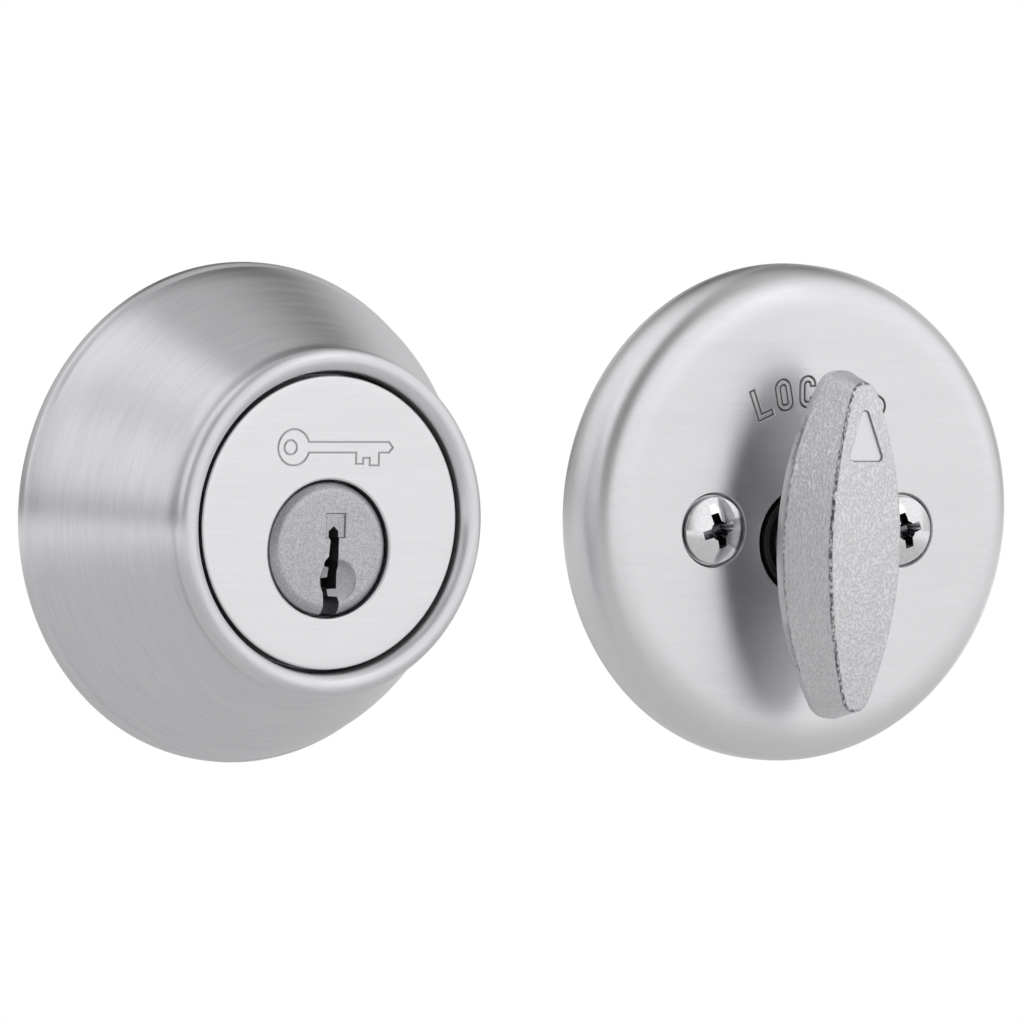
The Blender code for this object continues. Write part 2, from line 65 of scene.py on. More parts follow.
print("frame loaded:", len(nodes), "nodes")


def span(name):
    low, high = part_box(name)
    return np.array(low), np.array(high)


# the frame's own places; a depth counts from the door face out towards the user, so it is -y
roseLow, roseHigh = span("interior_rose")
collarLow = span("exterior_collar")[0]
discLow, discHigh = span("face_disc")
plugLow = span("plug")[0]
turnLow, turnHigh = span("thumbturn")
bushLow, bushHigh = span("turn_bushing")
trimRadius = (roseHigh[0] - roseLow[0]) / 2
trimUp = (roseHigh[2] + roseLow[2]) / 2  # centre of both roses above the two axes
turnX = (roseHigh[0] + roseLow[0]) / 2
keyX = 0.0
screwSide = 14.6 * mm
screwUp = 1.5 * mm


def hexColour(text):
    parts = [int(text[i:i + 2], 16) / 255 for i in (0, 2, 4)]
    return tuple(c / 12.92 if c <= 0.04045 else ((c + 0.055) / 1.055) ** 2.4 for c in parts) + (1,)


def addNode(tree, kind, settings=None, values=None, links=None):
    node = tree.nodes.new(kind)
    for key, value in (settings or {}).items():
        setattr(node, key, value)
    for key, value in (values or {}).items():
        node.inputs[key].default_value = value
    for key, socket in (links or {}).items():
        tree.links.new(socket, node.inputs[key])
    return node


def newMaterial(name, colour, metallic, roughness, more=None):
    material = bpy.data.materials.new(name)
    material.use_nodes = True
    tree = material.node_tree
    shader = tree.nodes["Principled BSDF"]
    shader.inputs["Base Color"].default_value = hexColour(colour)
    shader.inputs["Metallic"].default_value = metallic
    shader.inputs["Roughness"].default_value = roughness
    for key, value in (more or {}).items():
        shader.inputs[key].default_value = value
    return material, tree, shader


def noise(tree, place, scale, detail, roughness=0.5):
    values = {"Scale": scale, "Detail": detail, "Roughness": roughness}
    return addNode(tree, "ShaderNodeTexNoise", None, values, {"Vector": place})


def mapped(tree, source, low, high, toLow=0.0, toHigh=1.0, kind="LINEAR"):
    # low to high becomes toLow to toHigh, and stops at both
    values = {"From Min": low, "From Max": high, "To Min": toLow, "To Max": toHigh}
    node = addNode(tree, "ShaderNodeMapRange", {"interpolation_type": kind}, values, {"Value": source})
    return node.outputs["Result"]


def combined(tree, operation, first, second):
    node = addNode(tree, "ShaderNodeMath", {"operation": operation}, None, {0: first, 1: second})
    return node.outputs["Value"]


def bumped(tree, shader, height, strength, distance):
    bump = addNode(tree, "ShaderNodeBump", None, {"Strength": strength, "Distance": distance},
                   {"Height": height})
    tree.links.new(bump.outputs["Normal"], shader.inputs["Normal"])


def toned(tree, shader, factor, first, second):
    # the colour runs from the first to the second as a pattern goes from 0 to 1
    colours = {"A": hexColour(first), "B": hexColour(second)}
    tone = addNode(tree, "ShaderNodeMix", {"data_type": "RGBA"}, colours, {"Factor": factor})
    tree.links.new(tone.outputs["Result"], shader.inputs["Base Color"])
    return tone


def addShadeAndResidue(tree, shader, colour):
    # painted shade and polish residue: cuts are darkened towards the given colour, as they get less light,
    # by as much as the "groove" attribute says
    groove = addNode(tree, "ShaderNodeAttribute", {"attribute_name": "groove"})
    clean = shader.inputs["Base Color"].links[0].from_socket
    shadedColour = addNode(tree, "ShaderNodeMix", {"data_type": "RGBA"}, {"B": hexColour(colour)},
                     {"Factor": groove.outputs["Fac"], "A": clean})
    tree.links.new(shadedColour.outputs["Result"], shader.inputs["Base Color"])


roughSpread = 0.05  # how far the streaks change the roughness, either way


# Satin chrome, brushed: a belt's grit leaves fine parallel scratches, so light spreads across them
# and stays sharp along them. The "brush" attribute runs slowly along a scratch and fast across it,
# counted in millimetres.
def brushedChrome(name, colour, settings):
    material, tree, shader = newMaterial(name, colour, 1.0, settings["roughness"], {
        "Anisotropic": settings["anisotropic"], "Anisotropic Rotation": 0.25})
    tangent = addNode(tree, "ShaderNodeTangent", {"direction_type": "UV_MAP", "uv_map": "brushMap"})
    tree.links.new(tangent.outputs["Tangent"], shader.inputs["Tangent"])
    brush = addNode(tree, "ShaderNodeAttribute", {"attribute_name": "brush"})
    fine = noise(tree, brush.outputs["Vector"], 1 / settings["scratch"], 3.0, 0.6)
    broad = noise(tree, brush.outputs["Vector"], 1 / settings["streak"], 2.0)
    low, high = settings["roughness"] - roughSpread, settings["roughness"] + roughSpread
    tree.links.new(mapped(tree, broad.outputs["Fac"], 0, 1, low, high), shader.inputs["Roughness"])
    both = addNode(tree, "ShaderNodeMath", {"operation": "MULTIPLY_ADD"}, {1: 0.45},
                   {0: broad.outputs["Fac"], 2: fine.outputs["Fac"]})
    bumped(tree, shader, both.outputs["Value"], settings["depth"], 0.02 * mm)
    toned(tree, shader, fine.outputs["Fac"], settings["dark"], colour)
    # painted shade in the cuts, with some polish residue, darkens them towards 46464A
    addShadeAndResidue(tree, shader, "46464A")
    return material


# scratch and streak are the spacings in mm across the brushing; real grit leaves 0.05 mm, drawn
# coarser so that it shows
roundBrush = {"roughness": 0.33, "anisotropic": 0.75, "scratch": 0.35, "streak": 1.6, "depth": 0.25,
              "dark": "CBCBCE"}
straightBrush = {"roughness": 0.32, "anisotropic": 0.9, "scratch": 0.3, "streak": 1.3, "depth": 0.22,
                 "dark": "D2D2D4"}
collarChrome = brushedChrome("satin_chrome_turned", "E4E4E6", roundBrush)
roseChrome = brushedChrome("satin_chrome_linear", "E7E7E9", dict(straightBrush, dark="DCDCDE"))
discChrome = brushedChrome("satin_chrome_face", "EDEDEF", dict(straightBrush, dark="E0E0E2", depth=0.12))


# Zinc casting with a leather-grained mould, satin chromed: short upright ridges, with painted shade in the
# hollows.
def grainedCasting():
    ridge = 0.24 * mm  # width of a ridge; they are about twice as long upright
    material, tree, shader = newMaterial("satin_chrome_grained_casting", "DCDCDE", 1.0, 0.4)
    place = addNode(tree, "ShaderNodeTexCoord")
    grained = addNode(tree, "ShaderNodeAttribute", {"attribute_name": "grained"})
    creaseShade = addNode(tree, "ShaderNodeAttribute", {"attribute_name": "creaseShade"})
    stretched = addNode(tree, "ShaderNodeMapping", None, {"Scale": (1, 1, 0.5)},
                        {"Vector": place.outputs["Object"]})
    warp = noise(tree, stretched.outputs["Vector"], 0.4 / ridge, 1.0)
    shifted = addNode(tree, "ShaderNodeVectorMath", {"operation": "MULTIPLY_ADD"},
                      {1: (0.0004, 0.0004, 0.0004)},
                      {0: warp.outputs["Color"], 2: stretched.outputs["Vector"]})
    cells = noise(tree, shifted.outputs["Vector"], 1 / ridge, 2.0)
    ridges = mapped(tree, cells.outputs["Fac"], 0.34, 0.62, kind="SMOOTHSTEP")
    height = combined(tree, "MULTIPLY", ridges, grained.outputs["Fac"])
    bumped(tree, shader, height, 0.75, 0.06 * mm)
    # painted shade: the hollows between the ridges are darker
    hollowShade = combined(tree, "SUBTRACT", grained.outputs["Fac"], height)
    tone = toned(tree, shader, hollowShade, "DDDDDF", "CBCBCE")
    # painted shadow of the small step along the crease, and painted shade on the flange's left corner, in
    # broken dashes 0.5 mm or so long
    dashes = noise(tree, stretched.outputs["Vector"], 1 / (0.3 * mm), 3.0)
    broken = mapped(tree, dashes.outputs["Fac"], 0.36, 0.58)
    dark = combined(tree, "MULTIPLY", broken, creaseShade.outputs["Fac"])
    shadedColour = addNode(tree, "ShaderNodeMix", {"data_type": "RGBA"}, {"B": hexColour("5C5C60")},
                     {"Factor": dark, "A": tone.outputs["Result"]})
    tree.links.new(shadedColour.outputs["Result"], shader.inputs["Base Color"])
    # painted shade darkens the groove round the pointer towards 505054
    addShadeAndResidue(tree, shader, "505054")
    return material


# Cast and blasted metal: an even, sandy matt. grit is its grain in mm.
def blastedMetal(name, colour, dark, roughness, grit, depth):
    material, tree, shader = newMaterial(name, colour, 1.0, roughness)
    place = addNode(tree, "ShaderNodeTexCoord")
    sand = noise(tree, place.outputs["Object"], 1 / (grit * mm), 2.0, 0.7)
    cloud = noise(tree, place.outputs["Object"], 0.12 / (grit * mm), 2.0)
    rough = mapped(tree, cloud.outputs["Fac"], 0, 1, roughness - 0.06, roughness + 0.06)
    tree.links.new(rough, shader.inputs["Roughness"])
    bumped(tree, shader, sand.outputs["Fac"], depth, 0.04 * mm)
    toned(tree, shader, mapped(tree, sand.outputs["Fac"], 0.35, 0.65), dark, colour)
    return material


turnChrome = grainedCasting()
plugMetal = blastedMetal("nickel_blasted", "C5C5C8", "A6A6AA", 0.4, 0.24, 0.6)
zincCasting = blastedMetal("zinc_as_cast", "A9ACB0", "8E9195", 0.45, 0.4, 0.35)
platedSteel = blastedMetal("steel_zinc_plated", "C2C5C9", "B2B5BA", 0.28, 0.6, 0.12)
turnedBrass = blastedMetal("brass_turned", "C9A45C", "B9924B", 0.26, 0.3, 0.1)
screwSteel = blastedMetal("steel_nickel_polished", "E6E6E8", "DADADC", 0.1, 0.5, 0.04)
blackAcetal = blastedMetal("acetal_moulded_black", "1B1B1D", "131315", 0.38, 0.3, 0.2)
# painted shade darkens the screws' cross recesses towards 707074 and the plug's dimple and square towards
# 77777B
for material, colour in ((screwSteel, "707074"), (plugMetal, "77777B")):
    addShadeAndResidue(material.node_tree, material.node_tree.nodes["Principled BSDF"], colour)
blackAcetal.node_tree.nodes["Principled BSDF"].inputs["Metallic"].default_value = 0.0
print("materials made")


# Local axes of each half: across (x), up (z) and depth (-y), which is what every shape below uses.
def inRoom(points, x):
    points = np.asarray(points, float)
    return np.column_stack([points[:, 0] + x, -points[:, 2], points[:, 1]])


def newPiece(name, points, faces, x, material, uv=None, brush=None):
    mesh = bpy.data.meshes.new(name)
    mesh.from_pydata(inRoom(points, x).tolist(), [], faces)
    if uv is not None:
        layer = mesh.uv_layers.new(name="brushMap")
        layer.data.foreach_set("uv", np.asarray(uv, float).ravel())
    if brush is not None:
        setAttribute(mesh, "brush", brush)
    mesh.update()
    piece = bpy.data.objects.new(name, mesh)
    scene.collection.objects.link(piece)
    if material is not None:
        mesh.materials.append(material)
    turnOutwards(mesh)
    return piece


def setAttribute(mesh, name, values):
    values = np.asarray(values, np.float32)
    kind, field = ("FLOAT_VECTOR", "vector") if values.ndim == 2 else ("FLOAT", "value")
    attribute = mesh.attributes.get(name) or mesh.attributes.new(name, kind, "POINT")
    attribute.data.foreach_set(field, values.ravel())


def pointsOf(mesh):
    points = np.empty(len(mesh.vertices) * 3, np.float32)
    mesh.vertices.foreach_get("co", points)
    return points.reshape(-1, 3)


def turnOutwards(mesh):
    # the signed volume under every face is positive when they all look outwards
    mesh.calc_loop_triangles()
    index = np.empty(len(mesh.loop_triangles) * 3, np.int32)
    mesh.loop_triangles.foreach_get("vertices", index)
    a, b, c = pointsOf(mesh)[index.reshape(-1, 3)].astype(float).transpose(1, 0, 2)
    if np.einsum("ij,ij->i", a, np.cross(b, c)).sum() < 0:
        mesh.flip_normals()


def smooth(piece, angle=32):
    piece.data.shade_smooth()
    piece.data.set_sharp_from_angle(angle=radians(angle))
    return piece


# A turned piece: a closed outline of (radius, depth) carried round an axis. Point (i, j) is
# radius_i * (cos t_j, sin t_j) at depth_i. Radius 0 closes to a single pole.
def turned(name, outline, x, up, material, steps=192, across=0.0):
    outline = np.asarray(outline, float)
    rows = len(outline)
    angle = np.arange(steps) * 2 * pi / steps
    radius, depth = outline[:, :1], outline[:, 1:]
    circle = radius * np.cos(angle), radius * np.sin(angle)
    grid = np.stack([circle[0] + across, circle[1] + up, depth + 0 * angle], axis=2)
    ends = outline[:, 0] <= 0
    run = np.concatenate([[0], np.cumsum(np.hypot(*np.diff(outline, axis=0).T))]) / mm
    keep = np.where(~ends)[0]
    index = np.full((rows, steps), -1)
    index[keep] = np.arange(len(keep) * steps).reshape(len(keep), steps)
    points = grid[keep].reshape(-1, 3)
    brush = np.stack([np.cos(angle) * 1.2 + 0 * run[keep, None], np.sin(angle) * 1.2 + 0 * run[keep, None],
                      run[keep, None] + 0 * angle], axis=2).reshape(-1, 3)
    for i in np.where(ends)[0]:
        index[i] = len(points)
        points = np.vstack([points, [across, up, outline[i, 1]]])
        brush = np.vstack([brush, [0, 0, run[i]]])
    faces, uv = [], []
    girth = 2 * pi * outline[:, 0].max() / mm
    u = np.arange(steps + 1) / steps * girth
    for i in range(rows - 1 if ends.any() else rows):
        j = (i + 1) % rows
        near, far = index[i], index[j]
        ring = np.column_stack([near, np.roll(near, -1), np.roll(far, -1), far])
        place = np.stack([np.column_stack([u[:-1], u[1:], u[1:], u[:-1]]),
                          np.tile([run[i], run[i], run[j], run[j]], (steps, 1))], axis=2)
        # a band that meets a pole is a fan of triangles
        used = slice(1, 4) if ends[i] else slice(0, 3) if ends[j] else slice(0, 4)
        faces += ring[:, used].tolist()
        uv.append(place[:, used].reshape(-1, 2))
    uv = np.vstack(uv)
    return smooth(newPiece(name, points, faces, x, material, uv, brush))


# Points of an arc, both ends in.
def arc(cx, cy, radius, start, end, steps):
    angle = np.linspace(radians(start), radians(end), steps + 1)
    return np.column_stack([cx + radius * np.cos(angle), cy + radius * np.sin(angle)])


# An outline whose corners are rounded: each corner gives way to a quadratic curve between the
# points that lie a fillet's length from it on both sides.
def filleted(points, sizes, steps=5, closed=True):
    points = np.asarray(points, float)
    out = []
    count = len(points)
    for i, size in enumerate(sizes):
        if size == 0 or (not closed and i in (0, count - 1)):
            out.append(points[i][None])
            continue
        before, here, after = points[i - 1], points[i], points[(i + 1) % count]
        start = here + (before - here) / np.linalg.norm(before - here) * size
        end = here + (after - here) / np.linalg.norm(after - here) * size
        t = np.linspace(0, 1, steps + 1)[:, None]
        out.append((1 - t) ** 2 * start + 2 * t * (1 - t) * here + t ** 2 * end)
    return np.vstack(out)


# The faces between neighbouring rows of a grid whose columns close on themselves.
def bands(index):
    a, b = index[:-1], index[1:]
    return np.stack([a, np.roll(a, -1, 1), np.roll(b, -1, 1), b], axis=2).reshape(-1, 4).tolist()


# A tube of any rows, with a flat cap on its first and last.
def capped(index):
    return bands(index) + [index[0][::-1].tolist(), index[-1].tolist()]


# A straight prism of any flat outline, between two depths.
def prism(name, outline, low, high, x):
    count = len(outline)
    points = np.vstack([np.column_stack([outline, np.full(count, depth)]) for depth in (low, high)])
    return newPiece(name, points, capped(np.arange(2 * count).reshape(2, count)), x, None)


# A rod standing along the up axis, such as a pin's chamber.
def upright(name, radius, low, high, depth, x, steps=32):
    angle = np.arange(steps) * 2 * pi / steps
    circle = np.column_stack([radius * np.cos(angle), radius * np.sin(angle)])
    points = np.vstack([np.column_stack([circle[:, 0], np.full(steps, up), circle[:, 1] + depth])
                        for up in (low, high)])
    return newPiece(name, points, capped(np.arange(2 * steps).reshape(2, steps)), x, None)


# Cutters are taken away from a piece, and joiners added, then both are gone.
def carve(piece, cutters, operation="DIFFERENCE"):
    for cutter in cutters:
        modifier = piece.modifiers.new(cutter.name, "BOOLEAN")
        modifier.operation = operation
        modifier.solver = "MANIFOLD"
        modifier.object = cutter
    graph = bpy.context.evaluated_depsgraph_get()
    mesh = bpy.data.meshes.new_from_object(piece.evaluated_get(graph))
    piece.modifiers.clear()
    piece.data = mesh
    for cutter in cutters:
        bpy.data.objects.remove(cutter)
    return smooth(piece)


def finishPiece(piece, body, slot, *replaced):
    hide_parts(*replaced)
    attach(piece, body)


# Straight brushing: scratches lie across, so the pattern runs slowly along x and fast along z.
alongScratch = 0.03  # how far the pattern moves along a scratch for each mm


def brushAcross(piece):
    mesh = piece.data
    points = pointsOf(mesh) / mm
    setAttribute(mesh, "brush", points * [alongScratch, 1.0, 1.0])
    layer = mesh.uv_layers.get("brushMap") or mesh.uv_layers.new(name="brushMap")
    corner = np.empty(len(mesh.loops), np.int32)
    mesh.loops.foreach_get("vertex_index", corner)
    layer.data.foreach_set("uv", points[corner][:, [0, 2]].astype(np.float32).ravel())


# The "groove" attribute holds how much painted shade each point gets, from its place: across, up and depth.
def markGrooves(piece, shadeAt):
    points = pointsOf(piece.data)
    setAttribute(piece.data, "groove", shadeAt(points[:, 0], points[:, 2], -points[:, 1]))


# A groove of diamond section along a closed flat outline, for engraved contours: each section
# stands across the outline's mitred direction.
def contourTube(name, outline, radius, depth, x):
    outline = np.asarray(outline, float)
    forward = np.roll(outline, -1, 0) - outline
    forward /= np.linalg.norm(forward, axis=1)[:, None]
    mean = forward + np.roll(forward, 1, 0)
    mean /= np.linalg.norm(mean, axis=1)[:, None]
    side = np.column_stack([-mean[:, 1], mean[:, 0]])
    stretch = 1 / np.clip((mean * forward).sum(1), 0.5, 1)[:, None]
    count = len(outline)
    corners = ((1, 0), (0, -1), (-1, 0), (0, 1))
    rows = [(outline + side * s * radius * stretch, np.full(count, depth + d * radius)) for s, d in corners]
    points = np.vstack([np.column_stack(row) for row in rows])
    index = np.arange(4 * count).reshape(4, count)
    return newPiece(name, points, bands(index[[0, 1, 2, 3, 0]]), x, None)


# Key side: the flared collar with its rolled rim
collar = {"lip": 2.2 * mm, "rimRadius": 23.3 * mm, "rimWidth": 3.2 * mm, "crest": -collarLow[1],
          "wall": 1.5 * mm, "valleyRadius": 22.95 * mm, "valleyDepth": 22.3 * mm, "kneeRadius": 32.35 * mm,
          "kneeDepth": 4.6 * mm, "edge": 0.5 * mm, "ledgeTop": 20.6 * mm, "ledgeFloor": 19.0 * mm,
          "ledgeBore": 18.7 * mm, "valleyFillet": 1.3 * mm, "kneeFillet": 2.6 * mm}


def makeCollar():
    c = collar
    bead = c["rimWidth"] / 2
    beadRadius, beadDepth = c["rimRadius"] - bead, c["crest"] - bead
    pocket = c["rimRadius"] - c["rimWidth"]
    rim = arc(beadRadius, beadDepth, bead, 180, -12, 26)
    valley = np.array([c["valleyRadius"], c["valleyDepth"]])
    lipEdge = np.array([trimRadius - c["edge"], c["lip"]])
    # the spun wall runs straight to a knee near the lip and bends there towards the door
    knee = np.array([c["kneeRadius"], c["kneeDepth"]])
    bend = 12  # steps in each fillet
    sizes = [0, c["valleyFillet"], c["kneeFillet"], 0]
    cone = filleted([rim[-1], valley, knee, lipEdge], sizes, bend, closed=False)[:-1]
    straight = np.linspace(0, 1, 14)[1:-1, None]
    above, below = cone[bend + 1], cone[bend + 2]
    cone = np.vstack([cone[:bend + 2], above * (1 - straight) + below * straight, cone[bend + 2:]])
    bore = lipEdge[0] - c["wall"]
    back = [lipEdge, (trimRadius, c["lip"] - 0.65 * mm), (trimRadius, 0), (bore, 0), (bore, c["lip"])]
    back = filleted(back, [0, 0.3 * mm, 0.15 * mm, 0.15 * mm, 0.3 * mm], closed=False)
    slope = (lipEdge[0] - valley[0]) / (valley[1] - lipEdge[1])
    insideTop = bore - slope * (c["ledgeFloor"] - c["lip"])
    ledge = [(insideTop, c["ledgeFloor"]), (c["ledgeBore"], c["ledgeFloor"]),
             (c["ledgeBore"], c["ledgeTop"]), (pocket, c["ledgeTop"])]
    outline = np.vstack([rim, cone[1:], back, ledge])
    piece = turned("collar", outline, keyX, trimUp, collarChrome, steps=288)

    def inGap(x, z, depth):
        # painted shade: the gap round the disc is deep and is darkened
        inPocket = np.hypot(x, z - trimUp) < pocket + 0.05 * mm
        return inPocket & (depth < beadDepth - 0.2 * mm) & (depth > c["ledgeFloor"] - mm)

    markGrooves(piece, inGap)
    finishPiece(piece, "door_trim", "satin_chrome", "exterior_collar")


makeCollar()
print("collar made")


# The face disc, with a plain key engraved in outline above the plug
disc = {"radius": (discHigh[0] - discLow[0]) / 2, "front": -discLow[1] + 0.5 * mm, "back": -discHigh[1],
        "hole": 9.2 * mm, "edge": 0.35 * mm}
emblem = {"up": 13.5 * mm, "across": 0.6 * mm, "groove": 0.16 * mm, "bow": 2.4 * mm, "hole": 0.95 * mm,
          "shank": 0.7 * mm, "length": 17.6 * mm, "shadeAmount": 0.4, "bottom": 10.2 * mm, "reach": 17 * mm}


def keyOutline():
    e = emblem
    left = -e["length"] / 2 + e["bow"]
    meet = np.degrees(np.arcsin(e["shank"] / e["bow"]))
    right = e["length"] / 2
    bow = arc(left, 0, e["bow"], meet, 360 - meet, 40)
    s = e["shank"]
    # the bit's notched outline, measured back from the tip
    bit = np.array([(5.6, 0.7), (5.6, 2.2), (4.5, 2.2), (4.5, 1.4),
                    (3.5, 1.4), (3.5, 2.4), (2.1, 2.4), (2.1, 0.7)]) * mm
    teeth = np.vstack([np.column_stack([right - bit[:, 0], -bit[:, 1]]),
                       [(right - 0.6 * mm, -s), (right, 0), (right - 0.6 * mm, s)]])
    return np.vstack([bow, teeth]), arc(left - 0.5 * mm, 0, e["hole"], 0, 351, 39)


def makeDisc():
    d = disc
    corner = arc(d["radius"] - d["edge"], d["front"] - d["edge"], d["edge"], 90, 0, 6)
    outline = np.vstack([[(0, d["front"])],
                         np.column_stack([np.linspace(2, 18, 9) * mm, np.full(9, d["front"])]),
                         corner, [(d["radius"], d["back"]), (0, d["back"])]])
    piece = turned("face_plate", outline, keyX, trimUp, discChrome, steps=192)
    # the hole's mouth is rounded over 0.3 mm and opens out in front of the disc
    front, bore = d["front"], d["hole"]
    mouth = [(0, front + mm), (bore + 1.3 * mm, front + mm), (bore + 0.3 * mm, front),
             (bore + 0.07 * mm, front - 0.15 * mm), (bore, front - 0.45 * mm), (bore, d["back"] - mm),
             (0, d["back"] - mm)]
    hole = turned("hole", mouth, keyX, 0, None, steps=128)
    place = [emblem["across"], emblem["up"]]
    grooves = [contourTube(f"groove{n}", line + place, emblem["groove"], front, keyX)
               for n, line in enumerate(keyOutline())]
    carve(piece, [hole] + grooves)
    brushAcross(piece)

    def inEmblem(x, z, depth):
        # painted shade darkens the engraved outline of the key
        engraved = (depth < front - 0.06 * mm) & (depth > front - 0.3 * mm)
        inReach = (z > emblem["bottom"]) & (np.hypot(x, z - trimUp) < emblem["reach"])
        return emblem["shadeAmount"] * (engraved & inReach)

    markGrooves(piece, inEmblem)
    finishPiece(piece, "door_trim", "satin_chrome", "face_disc")


makeDisc()
print("face disc made")


# The plug, with its keyway, dimple and sunk square
plug = {"front": -plugLow[1] + 1.9 * mm, "head": 8.9 * mm, "step": 20.2 * mm, "radius": 7.0 * mm,
        "chamfer": 1.0 * mm, "end": -3.6 * mm, "groove": 6.1 * mm, "grooveTop": -1.95 * mm,
        "grooveBottom": -2.95 * mm}
dog = {"inner": 3.0 * mm, "outer": 6.0 * mm, "middle": 90, "spread": 22, "low": -6.1 * mm,
       "high": -3.0 * mm}
chamber = {"radius": 1.7 * mm, "low": 0.8 * mm, "high": 8 * mm}
keyway = [(0.6, 3.1), (-0.2, 2.4), (-0.2, 1.4), (0, 1.2), (-0.2, -1.0), (-0.75, -1.5), (-0.95, -2.2),
          (0, -2.4), (-0.15, -3.7), (-1.3, -3.8), (-0.9, -6.5), (-0.95, -9.9), (1.6, -9.9), (1.5, -6.3),
          (0, -6.2), (-0.2, -5.3), (1.3, -5.2), (1.3, -2.9), (1.5, -2.1), (1.3, -1.4),
          (1.3, 2.4)]  # mm, across and up
pinDepths = [(16.7 - 3.8 * n) * mm for n in range(5)]
dimple = {"across": 1.3 * mm, "up": -4.1 * mm, "radius": 2.8 * mm, "shadeAmount": 0.45}
sunkSquare = {"left": -0.6 * mm, "right": 2.2 * mm, "bottom": 1.6 * mm, "top": 4.7 * mm, "sink": 0.25 * mm,
              "edge": 0.14 * mm, "shadeAmount": 0.1}


def sector(inner, outer, middle, spread, steps=12):
    return np.vstack([arc(0, 0, outer, middle - spread, middle + spread, steps),
                      arc(0, 0, inner, middle + spread, middle - spread, steps)])


def makePlug():
    p = plug
    front, c = p["front"], p["chamfer"]
    outline = filleted([(0, front), (p["head"] - c, front), (p["head"], front - c), (p["head"], p["step"]),
                        (p["radius"], p["step"]), (p["radius"], p["grooveTop"]),
                        (p["groove"], p["grooveTop"]), (p["groove"], p["grooveBottom"]),
                        (p["radius"], p["grooveBottom"]), (p["radius"], p["end"]), (0, p["end"])],
                       [0, 0.5 * mm, 0.35 * mm, 0.1 * mm, 0, 0, 0, 0, 0, 0.15 * mm, 0], closed=False)
    piece = turned("key_plug", outline, keyX, 0, plugMetal, steps=144)
    lug = sector(dog["inner"], dog["outer"], dog["middle"], dog["spread"])
    carve(piece, [prism("dog", lug, dog["low"], dog["high"], keyX)], "UNION")
    slot = filleted(np.array(keyway) * mm, [0.12 * mm] * len(keyway), steps=3)
    s = sunkSquare
    square = np.array([(s["left"], s["bottom"]), (s["right"], s["bottom"]),
                       (s["right"], s["top"]), (s["left"], s["top"])])
    r = dimple["radius"]
    dish = [(0, front + mm), (r + 0.1 * mm, front + mm), (r, front - 0.05 * mm),
            (r - 0.3 * mm, front - 0.28 * mm), (r - 1.2 * mm, front - 0.42 * mm), (0, front - 0.45 * mm)]
    cutters = [prism("keyway", slot, dog["high"], front + mm, keyX),
               turned("dimple", dish, keyX, dimple["up"], None, 64, dimple["across"]),
               prism("square", square, front - s["sink"], front + mm, keyX),
               contourTube("squareEdge", square, s["edge"], front, keyX)]
    cutters += [upright(f"chamber{n}", chamber["radius"], chamber["low"], chamber["high"], depth, keyX)
                for n, depth in enumerate(pinDepths)]
    carve(piece, cutters)

    def inMarks(x, z, depth):
        # painted shade darkens the dimple all over, the square mostly round its edge
        sunk = (depth < front - 0.2 * mm) & (depth > front - 0.6 * mm)
        inDimple = sunk & (np.hypot(x - dimple["across"], z - dimple["up"]) < r - 0.05 * mm)
        nearSquare = np.abs(x - (s["left"] + s["right"]) / 2) < 1.6 * mm
        nearSquare &= np.abs(z - (s["bottom"] + s["top"]) / 2) < 1.75 * mm
        atEdge = nearSquare & (depth < front - 0.1 * mm) & (depth > front - 0.18 * mm)
        return np.maximum.reduce([dimple["shadeAmount"] * inDimple, s["shadeAmount"] * (sunk & nearSquare), 1.0 * atEdge])

    markGrooves(piece, inMarks)
    finishPiece(piece, "key_plug", "blasted_plug_metal", "plug")


makePlug()
print("plug made")


# Thumbturn side: the dished rose with its word engraved in outline
rose = {"face": -roseLow[1], "crown": 0.15 * mm, "wall": 1.3 * mm, "rim": 3.8 * mm, "wallTop": 1.2 * mm,
        "shoulder": 6.8 * mm, "fullness": 2.6, "hole": 7.26 * mm, "seat": 4.9 * mm, "seatFloor": 7.85 * mm,
        "screwHole": 2.4 * mm, "holeEdge": 0.25 * mm}
word = {"letters": "LOCKED", "radius": 20.0 * mm, "height": 4.2 * mm, "step": 10.5, "turn": 3.6,
        "groove": 0.21 * mm, "bottom": 14 * mm, "reach": 3 * mm}


